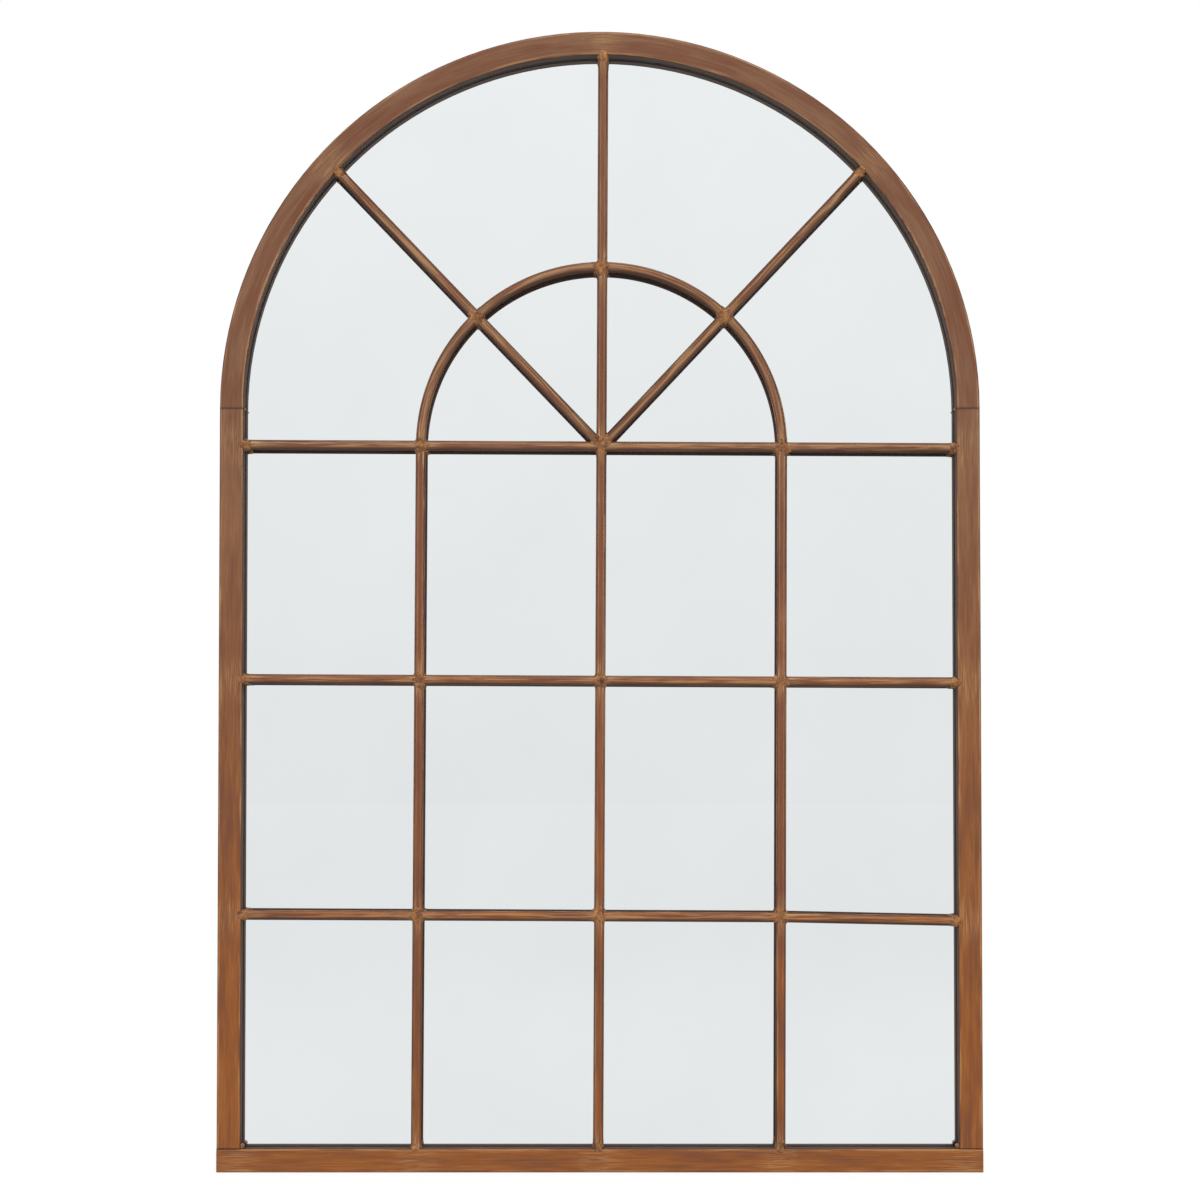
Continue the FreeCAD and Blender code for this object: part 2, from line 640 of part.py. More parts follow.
def make_clip():
    """A steel strip bent twice: foot on the frame, riser past the glass edge, lap over the board.

    Its origin is on the back of the frame at the glass edge, and its foot points along +X.
    """
    body = new_body("clip")
    outline = new_sketch(body, "clip_outline", "XY_Plane")
    gap, foot, lap = size("clip_gap"), size("clip_foot"), size("clip_lap")
    strip, rise = size("clip_thickness"), size("clip_height")
    corners = (
        (gap, 0), (gap + foot, 0), (gap + foot, strip), (gap + strip, strip),
        (gap + strip, rise + strip), (-lap, rise + strip), (-lap, rise), (gap, rise),
    )
    for (x1, y1), (x2, y2) in zip(corners, corners[1:] + corners[:1]):
        outline.addGeometry(Part.LineSegment(Vector(x1, y1), Vector(x2, y2)))
    for edge in range(8):
        outline.addConstraint(Sketcher.Constraint("Coincident", edge, END, (edge + 1) % 8, START))
        outline.addConstraint(Sketcher.Constraint("Vertical" if edge % 2 else "Horizontal", edge))
    outline.addConstraint(Sketcher.Constraint("PointOnObject", 0, START, -1))
    dimension(outline, "gap", "Sizes.clip_gap", "DistanceX", *ORIGIN_POINT, 0, START, gap)
    dimension(outline, "foot", "Sizes.clip_foot", "DistanceX", 0, START, 0, END, foot)
    dimension(outline, "foot_strip", "Sizes.clip_thickness", "DistanceY", 1, START, 1, END, strip)
    dimension(outline, "riser_strip", "Sizes.clip_thickness", "DistanceX", 0, START, 3, START, strip)
    dimension(outline, "lap_strip", "Sizes.clip_thickness", "DistanceY", 5, END, 4, END, strip)
    dimension(outline, "rise", "Sizes.clip_height", "DistanceY", *ORIGIN_POINT, 6, END, rise)
    dimension(outline, "lap", "Sizes.clip_lap", "DistanceX", 5, END, *ORIGIN_POINT, lap)
    pad(body, "clip_strip", outline, "Sizes.clip_width", midplane=True)
    doc.recompute()
    hole = new_sketch(body, "clip_hole_outline", "XZ_Plane")
    reach = size("clip_screw_reach")
    hole.addGeometry(Part.Circle(Vector(reach, 0), Vector(0, 0, 1), size("screw_diameter") / 2))
    hole.addConstraint(Sketcher.Constraint("PointOnObject", 0, CENTRE, -1))
    dimension(
        hole, "diameter", "Sizes.screw_diameter + 2 * Sizes.screw_clearance",
        "Diameter", 0, size("screw_diameter"))
    dimension(hole, "reach", "Sizes.clip_screw_reach", "DistanceX", *ORIGIN_POINT, 0, CENTRE, reach)
    cut_out = body.newObject("PartDesign::Pocket", "clip_hole")
    cut_out.Profile = hole
    cut_out.setExpression("Length", "Sizes.clip_thickness * 2")
    return body


def make_screw():
    """A pan-head self-tapping screw: the head sits on Y = 0 and the shank points along -Y."""
    into = "rotation(vector(1; 0; 0); 90)"
    shank = cylinder("screw_shank", "Sizes.screw_diameter / 2", "Sizes.screw_length - Sizes.screw_point")
    place(shank, turn=into)
    point = doc.addObject("Part::Cone", "screw_tip")
    bind(point, Radius1="Sizes.screw_diameter / 2", Radius2="Sizes.screw_diameter / 8",
         Height="Sizes.screw_point")
    place(point, y="Sizes.screw_point - Sizes.screw_length", turn=into)
    head = cylinder("screw_head_disc", "Sizes.screw_head_diameter / 2", "Sizes.screw_head_height")
    place(head, y="Sizes.screw_head_height", turn=into)
    dome = doc.addObject("Part::Sphere", "screw_dome")
    bind(dome, Radius="Sizes.screw_head_diameter / 2 + Sizes.screw_head_height / 4")
    place(dome, y="Sizes.screw_head_height * 5 / 4 - Sizes.screw_head_diameter / 2")
    whole = fuse("screw_whole", [shank, point, common("screw_head", [head, dome])])
    slots = []
    slot_length = "Sizes.screw_head_diameter * 0.55"
    for name, length, height in (("level", slot_length, "Sizes.screw_recess_width"),
                                 ("upright", "Sizes.screw_recess_width", slot_length)):
        slot = block(f"screw_slot_{name}", length, "Sizes.screw_recess * 2", height)
        slots.append(place(slot, f"-({length}) / 2", "Sizes.screw_head_height - Sizes.screw_recess",
                           f"-({height}) / 2"))
    return cut_all("screw", whole, slots)


clip = make_clip()
screw = make_screw()

clip_spots = STILE_CLIPS["left"] + STILE_CLIPS["right"] + ARCH_CLIPS + RAIL_CLIPS
copies("glass_clips", clip, [
    (x, "Sizes.frame_back", z, turned(f"-({angle})")) for x, z, angle in clip_spots])
copies("clip_screws", screw, [
    (x, "Sizes.frame_back + Sizes.clip_thickness", z, UNTURNED)
    for x, z in map(screw_spot, clip_spots)])

# ---------------------------------------------------------------------------------------------------
# Hangers: a strap with an eye on the back of each stile, and a loose ring in the eye
# ---------------------------------------------------------------------------------------------------

THICK = "Sizes.strap_thickness"
EYE = "(Sizes.eye_radius + Sizes.strap_thickness)"


def make_strap():
    """The strap's origin is the middle of the ring's axis; it hangs down from there."""
    back = "-Sizes.eye_radius - Sizes.strap_thickness"
    half = "Sizes.strap_width / 2"
    along = "rotation(vector(0; 1; 0); 90)"
    through = "rotation(vector(1; 0; 0); -90)"
    flat = place(block("strap_flat", "Sizes.strap_width", THICK, "Sizes.strap_length"),
                 f"-{half}", back, "-Sizes.strap_length")
    end = place(cylinder("strap_end", half, THICK), "0", back, "-Sizes.strap_length", through)
    curl = place(cylinder("strap_curl", EYE, "Sizes.strap_width"), f"-{half}", turn=along)
    eye = place(cylinder("strap_eye", "Sizes.eye_radius", "Sizes.strap_width * 2"),
                "-Sizes.strap_width", turn=along)
    holes = []
    for number, height in enumerate(
            ("-Sizes.strap_length", "Sizes.strap_screw_pitch - Sizes.strap_length"), start=1):
        hole = cylinder(f"strap_hole_{number}", "Sizes.screw_diameter / 2 + Sizes.screw_clearance",
                        f"{THICK} * 3")
        holes.append(place(hole, "0", f"{back} - {THICK}", height, through))
    return cut_all("strap", fuse("strap_whole", [flat, end, curl]), [eye] + holes)


def make_ring():
    """A D-shaped ring of round wire. Its straight bar lies on the X axis and the rest hangs down."""
    body = new_body("ring")
    path = new_sketch(body, "ring_path", "XZ_Plane")
    half, bend, leg = size("ring_width") / 2, size("ring_bend"), size("ring_leg")
    quarter = math.pi / 2
    low = -bend - leg

    def arc(x, z, radius, first_quarter, quarters):
        circle = Part.Circle(Vector(x, z), Vector(0, 0, 1), radius)
        return Part.ArcOfCircle(circle, first_quarter * quarter, (first_quarter + quarters) * quarter)

    bar, right_bend, right_leg, bow, left_leg, left_bend = range(6)
    path.addGeometry(Part.LineSegment(Vector(bend - half, 0), Vector(half - bend, 0)))
    path.addGeometry(arc(half - bend, -bend, bend, 0, 1))
    path.addGeometry(Part.LineSegment(Vector(half, -bend), Vector(half, low)))
    path.addGeometry(arc(0, low, half, 2, 2))
    path.addGeometry(Part.LineSegment(Vector(-half, low), Vector(-half, -bend)))
    path.addGeometry(arc(bend - half, -bend, bend, 1, 1))
    for one, one_end, other, other_end in (
            (bar, END, right_bend, END), (right_bend, START, right_leg, START),
            (right_leg, END, bow, END), (bow, START, left_leg, START),
            (left_leg, END, left_bend, END), (left_bend, START, bar, START)):
        path.addConstraint(Sketcher.Constraint("Tangent", one, one_end, other, other_end))
    path.addConstraint(Sketcher.Constraint("PointOnObject", bar, START, -1))
    path.addConstraint(Sketcher.Constraint("Horizontal", bar))
    path.addConstraint(Sketcher.Constraint("Vertical", right_leg))
    path.addConstraint(Sketcher.Constraint("Vertical", left_leg))
    path.addConstraint(Sketcher.Constraint("PointOnObject", bow, CENTRE, VERTICAL_AXIS))
    path.addConstraint(Sketcher.Constraint("Equal", right_bend, left_bend))
    dimension(path, "bend", "Sizes.ring_bend", "Radius", right_bend, bend)
    dimension(path, "half_width", "Sizes.ring_width / 2", "Radius", bow, half)
    dimension(path, "leg", "Sizes.ring_leg", "DistanceY", right_leg, END, right_leg, START, leg)
    wire = new_sketch(body, "ring_wire_outline", "YZ_Plane")
    wire.addGeometry(Part.Circle(Vector(0, 0), Vector(0, 0, 1), size("ring_wire") / 2))
    wire.addConstraint(Sketcher.Constraint("Coincident", 0, CENTRE, *ORIGIN_POINT))
    dimension(wire, "wire", "Sizes.ring_wire", "Diameter", 0, size("ring_wire"))
    doc.recompute()
    sweep = body.newObject("PartDesign::AdditivePipe", "ring_sweep")
    sweep.Profile = wire
    sweep.Spine = path
    return body


strap = make_strap()
ring = make_ring()
hanging = "rotation(vector(1; 0; 0); Sizes.ring_rest_tilt)"
for name, side in (("left_hanger", "-"), ("right_hanger", "")):
    across = f"{side}Sizes.fastener_line"
    copies(f"{name}_strap", strap, ((across, "Sizes.pivot_line", "Sizes.pivot_height", UNTURNED),))
    copies(f"{name}_ring", ring, ((across, "Sizes.pivot_line", "Sizes.pivot_height", hanging),))
copies("hanger_screws", screw, [
    (x, "Sizes.frame_back + Sizes.strap_thickness", z, UNTURNED)
    for side in ("-", "") for x, z in hanger_spots(side)])

# ---------------------------------------------------------------------------------------------------
# Rubber bumpers, which keep the clips off the wall
# ---------------------------------------------------------------------------------------------------


def make_bumper():
    """A tapered rubber foot on Y = 0, with a hole for its screw and a recess for the screw's head."""
    back = "rotation(vector(1; 0; 0); -90)"
    rubber = doc.addObject("Part::Cone", "bumper_rubber")
    bind(rubber, Radius1="Sizes.bumper_base_diameter / 2", Radius2="Sizes.bumper_wall_diameter / 2",
         Height="Sizes.bumper_height")
    hole = cylinder("bumper_hole", "Sizes.screw_diameter / 2 + Sizes.screw_clearance",
                    "Sizes.bumper_height")
    recess = cylinder("bumper_recess", "Sizes.screw_head_diameter / 2 + Sizes.bumper_recess_gap",
                      "Sizes.bumper_height")
    place(rubber, turn=back)
    place(hole, turn=back)
    place(recess, y="Sizes.bumper_seat", turn=back)
    return cut_all("bumper", rubber, [hole, recess])


bumper_spots = RAIL_BUMPERS + ARCH_BUMPERS
copies("wall_bumpers", make_bumper(), [
    (x, "Sizes.frame_back", z, UNTURNED) for x, z, _ in bumper_spots])
copies("bumper_screws", screw, [
    (x, "Sizes.frame_back + Sizes.bumper_seat", z, UNTURNED) for x, z, _ in bumper_spots])

doc.recompute()

# ---------------------------------------------------------------------------------------------------
# Welds: each is a rounded lump with the pieces that it joins taken out of it
# ---------------------------------------------------------------------------------------------------


def in_place(feature, body):
    """A copy of a body's feature where the body stands in the mirror."""
    shape = feature.Shape.copy()
    shape.Placement = body.Placement.multiply(feature.Placement)
    return shape


frame_solids = {
    "left_stile": in_place(left_stile_solid, left_stile),
    "right_stile": in_place(right_stile_solid, right_stile),
    "bottom_rail": in_place(bottom_rail_solid, bottom_rail),
    "arch_rail": in_place(arch_rail_solid, arch_rail),
}


def lump(centre, turn, radius, half_thickness):
    """A lump round about its own Z axis: widest in the middle, tapering evenly to both its flat ends."""
    halves = [
        Part.makeCone(radius, radius * size("weld_taper"), half_thickness, Vector(), axis)
        for axis in (Vector(0, 0, 1), Vector(0, 0, -1))]
    shape = halves[0].fuse(halves[1])
    shape.Placement = FreeCAD.Placement(centre, turn)
    return shape


def bead_along_depth(x, z, radius):
    """A bead laid front to back, as long as the flat side of the frame tube."""
    reach = size("tube_depth") / 2 - size("tube_corner")
    return Part.makeCylinder(radius, 2 * reach, Vector(x, -reach, z), Vector(0, 1, 0))


def weld(shape, joined, stubs=()):
    """A lump with the bars and frame members that it joins cut out; scraps inside a joint are dropped."""
    solids = [frame_solids[name] if name in frame_solids else rods[name].Shape for name in joined]
    for solid in list(stubs) + solids:
        shape = shape.cut(solid)
    return max(shape.Solids, key=lambda solid: solid.Volume)


def weld_group(name, welds):
    group = doc.addObject("Part::Feature", name)
    group.Shape = Part.makeCompound(welds)
    return node(group, name)


def grille_point(x, z):
    """A point on the middle plane of the bars, given as if the grille stood square."""
    return grille_datum.Placement.multVec(Vector(x, size("bar_line"), z))


bar_radius, pitch = size("bar_radius"), size("bar_pitch")
transom_line = size("transom_line")
crossing_radius = bar_radius + size("weld_leg")
square_up = grille_datum.Placement.Rotation
TO_FRONT = Rotation(Vector(0, 0, 1), Vector(0, -1, 0))


def crossing_lump(x, z):
    return lump(grille_point(x, z), TO_FRONT, crossing_radius, bar_radius + size("weld_crown"))


def arch_stub(x, z, along, length):
    """The short stretch of the inner arch inside a weld: straight, and thick enough to clear the bend."""
    bend = crossing_radius ** 2 / (2 * pitch)
    return Part.makeCylinder(bar_radius + bend, length, grille_point(x, z), square_up.multVec(along))


for row in ("middle", "lower"):
    crossings = []
    for side, x, ends in (
            ("left", -pitch, ("far_left", "left")),
            ("centre", 0, ("left", "right")),
            ("right", pitch, ("right", "far_right"))):
        joined = [f"{side}_mullion"] + [f"{row}_bar_{end}" for end in ends]
        crossings.append(weld(crossing_lump(x, size(f"{row}_row")), joined))
    weld_group(f"{row}_row_welds", crossings)
crossings = []
for side, x in (("left", -pitch), ("right", pitch)):
    stub = arch_stub(x, transom_line - bar_radius / 2, Vector(0, 0, 1), crossing_radius * 2)
    crossings.append(weld(crossing_lump(x, transom_line), (f"{side}_mullion", "transom"), [stub]))
weld_group("transom_welds", crossings)
crossings = []
spoke_turns = {
    "left_spoke": Rotation(Vector(0, 1, 0), size("spoke_angle_left") - 90),
    "king_bar": Rotation(),
    "right_spoke": Rotation(Vector(0, 1, 0), 90 - size("spoke_angle_right")),
}
for name, turn in spoke_turns.items():
    along = turn.multVec(Vector(1, 0, 0))
    middle = Vector(0, 0, transom_line) + turn.multVec(Vector(0, 0, pitch))
    start = middle - along * crossing_radius * 2
    stub = arch_stub(start.x, start.z, along, crossing_radius * 4)
    crossings.append(weld(crossing_lump(middle.x, middle.z), [name], [stub]))
weld_group("inner_arch_welds", crossings)

fan_lump = lump(
    grille_point(0, transom_line + size("fan_weld_rise")), TO_FRONT,
    size("fan_weld_radius"), bar_radius + size("fan_weld_crown"))
weld_group("fan_weld", [
    weld(fan_lump, ("transom", "centre_mullion", "king_bar", "left_spoke", "right_spoke"))])


end_weld_radius = bar_radius + size("end_weld_flare")


def end_weld(x, z, direction, joined, stubs=()):
    """The weld round the end of a bar where it meets the frame, spilling a little on to its face."""
    centre = Vector(x, size("bar_line"), z)
    turn = Rotation(Vector(0, 0, 1), direction)
    return weld(lump(centre, turn, end_weld_radius, size("weld_leg")), joined, stubs)


def arch_stretch(outward):
    """The short stretch of the arch rail behind a weld: straight, and near enough to clear the bend."""
    bend = end_weld_radius ** 2 / (2 * daylight_half)
    width, depth, half_length = size("tube_width"), size("tube_depth"), end_weld_radius * 2
    corner = Vector(daylight_half - bend, -depth / 2, -half_length)
    bar = Part.makeBox(width, depth, half_length * 2, corner)
    inner_edges = [
        edge for edge in bar.Edges
        if edge.BoundBox.XMax < daylight_half and edge.BoundBox.ZLength > half_length]
    bar = bar.makeFillet(size("tube_corner"), inner_edges)
    turn = Rotation(Vector(1, 0, 0), Vector(outward.x, 0, outward.z))
    bar.Placement = FreeCAD.Placement(Vector(0, 0, size("spring_height")), turn)
    return bar


daylight_half, rail_top = size("daylight_half"), size("tube_width")
for side, sign in (("left", -1), ("right", 1)):
    end_welds = []
    for bar in (f"middle_bar_far_{side}", f"lower_bar_far_{side}", "transom"):
        rod = rods[bar].Placement
        along = rod.Rotation.multVec(Vector(0, 0, 1))
        end = rod.Base + along * ((sign * daylight_half - rod.Base.x) / along.x)
        joined = (bar, f"{side}_stile", "arch_rail")
        end_welds.append(end_weld(end.x, end.z, Vector(1, 0, 0), joined))
    weld_group(f"{side}_stile_welds", end_welds)
end_welds = []
for name, _ in MULLIONS:
    rod = rods[name].Placement
    along = rod.Rotation.multVec(Vector(0, 0, 1))
    end = rod.Base + along * ((rail_top - rod.Base.z) / along.z)
    end_welds.append(end_weld(end.x, end.z, Vector(0, 0, 1), (name, "bottom_rail")))
weld_group("bottom_rail_welds", end_welds)
end_welds = []
arch_middle = Vector(0, size("bar_line"), size("spring_height"))
for name in spoke_turns:
    rod = rods[name].Placement
    along = rod.Rotation.multVec(Vector(0, 0, 1))
    offset = rod.Base - arch_middle
    half_b = offset.dot(along)
    reach_to_arch = (half_b ** 2 - offset.dot(offset) + daylight_half ** 2) ** 0.5 - half_b
    end = rod.Base + along * reach_to_arch
    outward = end - arch_middle
    end_welds.append(end_weld(end.x, end.z, outward, (name,), [arch_stretch(outward)]))
weld_group("arch_rail_welds", end_welds)

corner_welds = []
for side, sign in (("left", -1), ("right", 1)):
    x = sign * daylight_half
    corner_welds.append(weld(
        bead_along_depth(x, rail_top, size("corner_bead")), (f"{side}_stile", "bottom_rail")))
    corner_welds.append(weld(
        bead_along_depth(x, size("spring_height"), size("joint_bead")), (f"{side}_stile", "arch_rail")))
weld_group("frame_corner_welds", corner_welds)

doc.recompute()

# ---------------------------------------------------------------------------------------------------
# Check every object, then write the parts
# ---------------------------------------------------------------------------------------------------

for thing in doc.Objects:
    if "Invalid" in thing.State or "Error" in thing.State:
        raise RuntimeError(f"{thing.Label} failed: {thing.State}")
for piece in nodes:
    if piece.Shape.isNull() or not piece.Shape.isValid():
        raise RuntimeError(f"{piece.Label} has no valid shape")

os.makedirs("parts", exist_ok=True)
for piece in nodes:
    piece.Shape.exportStep(f"parts/{piece.Label}.step")
    print(f"{piece.Label}: {len(piece.Shape.Solids)} solid(s), {piece.Shape.Volume / 1000:.2f} cm3")
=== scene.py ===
# %% [markdown]
# # An arched window mirror
#
# The real object is a mirror for a wall: a welded frame of oblong steel tube, a grille of thin round
# tube that makes it look like an old window, and one arched sheet of silvered glass behind them.
# The steel is lacquered brown and then dry-brushed with copper and gold. This lesson dresses the
# finished solids: it gives each a material, builds the rough weld metal anew, and lights the result.

# %% Load the solids
import math
import random

import bmesh
import bpy
from mathutils import Matrix, Vector, noise


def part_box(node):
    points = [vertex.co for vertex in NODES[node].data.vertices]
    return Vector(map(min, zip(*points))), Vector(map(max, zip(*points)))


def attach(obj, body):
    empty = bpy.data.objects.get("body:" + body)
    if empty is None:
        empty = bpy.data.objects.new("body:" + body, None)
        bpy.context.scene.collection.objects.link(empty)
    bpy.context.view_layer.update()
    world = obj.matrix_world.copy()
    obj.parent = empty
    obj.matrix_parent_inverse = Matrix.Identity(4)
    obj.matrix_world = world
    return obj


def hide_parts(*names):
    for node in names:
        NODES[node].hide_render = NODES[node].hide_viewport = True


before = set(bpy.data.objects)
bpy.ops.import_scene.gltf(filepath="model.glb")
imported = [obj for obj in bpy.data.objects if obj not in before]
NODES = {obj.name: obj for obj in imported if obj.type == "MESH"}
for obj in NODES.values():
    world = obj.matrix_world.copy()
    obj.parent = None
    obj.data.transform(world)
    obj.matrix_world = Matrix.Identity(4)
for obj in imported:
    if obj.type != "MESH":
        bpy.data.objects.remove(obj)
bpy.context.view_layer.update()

random.seed(7)

# %% [markdown]
# ## Sizes that the looks need
#
# Every piece already stands where it belongs, with +X to the right, +Y away from the viewer and +Z up,
# in metres. The finish follows the run of each tube, so the centre lines of the tubes are read from
# the solids' boxes instead of being typed in twice.

# %% Measure the frame and the grille
MM = 0.001


def middle(node):
    low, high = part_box(node)
    return (low + high) / 2


TUBE_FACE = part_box("bottom_rail")[1].z
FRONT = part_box("bottom_rail")[0].y
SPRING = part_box("arch_rail")[0].z
ARCH_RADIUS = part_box("arch_rail")[1].x - TUBE_FACE / 2
BAR_RADIUS = (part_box("transom")[1].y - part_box("transom")[0].y) / 2
BAR_LINE = middle("transom").y
print(f"tube face {TUBE_FACE / MM:.1f} mm, front at {FRONT / MM:.1f}")
print(f"bars {2 * BAR_RADIUS / MM:.1f} mm thick")


def lumps(node):
    """Centres of the separate solids in one node, from its mesh."""
    mesh = bmesh.new()
    mesh.from_mesh(NODES[node].data)
    bmesh.ops.remove_doubles(mesh, verts=mesh.verts, dist=0.01 * MM)
    seen, centres = set(), []
    for start in mesh.verts:
        if start in seen:
            continue
        seen.add(start)
        island, queue = [], [start]
        while queue:
            vert = queue.pop()
            island.append(vert.co.copy())
            for edge in vert.link_edges:
                other = edge.other_vert(vert)
                if other not in seen:
                    seen.add(other)
                    queue.append(other)
        low = Vector(min(co[axis] for co in island) for axis in range(3))
        high = Vector(max(co[axis] for co in island) for axis in range(3))
        centres.append((low + high) / 2)
    mesh.free()
    return centres


CROSSING_NODES = ("middle_row_welds", "lower_row_welds", "transom_welds", "inner_arch_welds")
END_NODES = ("left_stile_welds", "right_stile_welds", "bottom_rail_welds", "arch_rail_welds")
CROSSINGS = [centre for node in CROSSING_NODES for centre in lumps(node)]
BAR_ENDS = [centre for node in END_NODES for centre in lumps(node)]
FAN = lumps("fan_weld")[0]
ALL_WELDS = CROSSINGS + BAR_ENDS + [FAN]
print("welds found:", len(CROSSINGS), "crossings,", len(BAR_ENDS), "bar ends and the fan's middle")

# %% [markdown]
# ## Colour and nodes
#
# Colours are written the way a paint shop would match them, as sRGB hex, and one function turns them
# into the linear values that the renderer mixes. A second small function adds any node with its
# settings and links, so that a material reads from top to bottom as a recipe. It uses a third, which
# also links up a node that is already there, such as the one for the finished surface.

# %% Helpers for every material
MATH, RANGE, SPLIT, MIX = "ShaderNodeMath", "ShaderNodeMapRange", "ShaderNodeSeparateXYZ", "ShaderNodeMix"
NOISE, PLACE = "ShaderNodeTexNoise", "ShaderNodeTexCoord"
SMOOTH = {"interpolation_type": "SMOOTHSTEP"}
COLOURS = {"data_type": "RGBA"}     # such a mix has its share at 0 and its two colours at 6 and 7


def linear(hex_code, alpha=1.0):
    channels = [int(hex_code[start:start + 2], 16) / 255 for start in (1, 3, 5)]
    return (*[c / 12.92 if c <= 0.04045 else ((c + 0.055) / 1.055) ** 2.4 for c in channels], alpha)


def wire(tree, node, inputs):
    """Fills inputs, in order or by name, from values, sockets, or nodes with one result."""
    for name, value in (inputs if isinstance(inputs, dict) else dict(enumerate(inputs))).items():
        if isinstance(value, bpy.types.Node):
            value = next(output for output in value.outputs if output.enabled)
        if isinstance(value, bpy.types.NodeSocket):
            tree.links.new(value, node.inputs[name])
        else:
            node.inputs[name].default_value = value


def add(tree, kind, inputs=(), **settings):
    """Adds a node. Its settings come first, because they decide which inputs it has."""
    node = tree.nodes.new(kind)
    for name, value in settings.items():
        setattr(node, name, value)
    wire(tree, node, inputs)
    return node


def new_material(name):
    material = bpy.data.materials.new(name)
    material.use_nodes = True
    tree = material.node_tree
    return material, tree, tree.nodes["Principled BSDF"]


# %% [markdown]
# ## Where a tube runs
#
# A brush is drawn along a tube, so the marks are long and thin: a few hundredths of the tube across and
# several centimetres along. Noise that is squeezed along one axis gives such marks, if it is laid in
# the tube's own directions. For a straight tube that means turning the coordinates. For a bent one the
# angle round the arch's centre, times the radius, is the way along.

# %% Coordinates along, across and through a tube
def along_straight(tree, centre_x, centre_z, lean):
    """X across, Y in depth, Z along a tube that leans by an angle to the right of upright."""
    place = add(tree, PLACE).outputs["Object"]
    moved = add(tree, "ShaderNodeVectorMath", (place, (centre_x, 0, centre_z)), operation="SUBTRACT")
    return add(
        tree, "ShaderNodeVectorRotate", {"Vector": moved, "Axis": (0, 1, 0), "Angle": -lean},
        rotation_type="AXIS_ANGLE")


def along_arc(tree, centre_x, centre_z, radius):
    """The same for a tube bent round a centre: X is outward, Z is the length of arc from the top."""
    place = add(tree, PLACE).outputs["Object"]
    moved = add(tree, "ShaderNodeVectorMath", (place, (centre_x, 0, centre_z)), operation="SUBTRACT")
    parts = add(tree, SPLIT, (moved,)).outputs
    flat = add(tree, "ShaderNodeCombineXYZ", {"X": parts["X"], "Z": parts["Z"]})
    reach = add(tree, "ShaderNodeVectorMath", (flat,), operation="LENGTH").outputs["Value"]
    angle = add(tree, MATH, (parts["X"], parts["Z"]), operation="ARCTAN2")
    outward = add(tree, MATH, (reach, radius), operation="SUBTRACT")
    length = add(tree, MATH, (angle, radius), operation="MULTIPLY")
    return add(tree, "ShaderNodeCombineXYZ", {"X": outward, "Y": parts["Y"], "Z": length})


# %% [markdown]
# ## Copper-brown lacquer, dry-brushed
#
# The steel has a brown lacquer with bronze powder in it. On top of that a nearly dry brush has dragged
# ochre and gold, more in some places than in others, and hands have rubbed the edges. Bronze powder is
# metal in a clear binder, so the lacquer is set between metal and paint. An image of a worn surface
# would be quicker to apply, but it would smear where a tube turns. Layers of noise follow the tube
# instead: patches as long as a hand, brush marks half a millimetre wide, and grains of grit. A real
# bristle and a real grain are finer, but at their true size they would be lost in the picture.

# %% Name the tones and sizes of the finish
LACQUER = {
    "deep": "#6B402A",      # red-brown where the brush passed over
    # The brown greys from the foot upwards as a painted sheen; body high is the brown under that sheen.
    "body low": "#8C4F1C",  # the brown that covers most of the frame, warmer near the foot
    "body high": "#79563F",
    "ochre": "#9C6E42",     # dragged on by the dry brush
    # Gold also paints a highlight along the front of the level and arched bars.
    "gold": "#C89E6C",      # on edges and beside the welds
    # The soot colour is real soot in the joints, and painted shade at the rounded edges, on the walls by the
    # glass, on the bars' sides and under the bars.
    "soot_and_shade": "#37231A",      # left in corners and under the bars
}
MARK_WIDTH = 0.55 * MM      # one bristle's mark, drawn coarser than it is
MARK_LENGTH = 26 * MM
PATCH_WIDTH = 13 * MM
PATCH_LENGTH = 85 * MM
GRIT = 0.5 * MM             # one grain, also drawn coarser
SPATTER = 0.45 * MM         # radius of one bead of spatter
SPATTER_GAP = 19 * MM

# Where each layer starts to show and where it is full, on its noise's scale of 0 to 1.
PATCH_COVERS, OCHRE_COVERS, OCHRE_MARKS = (0.28, 0.62), (0.44, 0.66), (0.46, 0.70)
EDGE_BREAKS, CREST_BREAKS, WELD_BREAKS, BEAD_BREAKS = (0.46, 0.60), (0.42, 0.62), (0.47, 0.62), (0.5, 0.54)
# The same across the tube, in half faces, then by the way the surface faces, and then in metres. Across the
# tube, the second and third pairs bound painted shade at the rounded edges and on the walls by the glass. A
# surface that faces aside or down takes painted shade, and one that faces the front takes gold and a painted
# highlight. The heights grey the brown upwards as a painted sheen.
RUBBED_EDGE, SHADED_EDGE, INNER_EDGE = (0.70, 0.90), (0.86, 1.0), (0.7, 0.95)
FACES_FRONT, FACES_ASIDE, FACES_DOWN = (-0.86, -1.0), (-0.75, -0.1), (-0.05, -0.8)
SHEEN_HEIGHTS, GOLD_REACH = (0.1, 0.9), (5 * MM, 30 * MM)
SEAM_WANDER = 1.2 * MM
# How much of the brown's cover is patches and how much is broad marks.
PATCH_SHARE, BROAD_SHARE = 0.62, 0.38
# How thickly each layer lies, 1 being opaque. The edge and wall layers are painted shade, and the seam layer
# is soot in the joints.
OCHRE_COAT, GOLD_COAT, EDGE_SHADE, WALL_SHADE, SEAM_SOOT, BEAD_GOLD = 0.8, 0.6, 0.5, 0.78, 0.6, 0.35
BRONZE_SHARE = 0.55         # between paint at 0 and bare metal at 1
POLISHED_MARKS, POLISH = (0.3, 0.7), (0.44, 0.32)       # roughness from the thinnest mark to the fattest
# How much rougher the walls are where the painted shade lies.
WALL_DULLS = 0.3
MARK_RELIEF, GRIT_RELIEF, BEAD_RELIEF = 0.75, 0.25, 3.0
RELIEF_DEPTH, RELIEF_STRENGTH = 0.1 * MM, 0.25


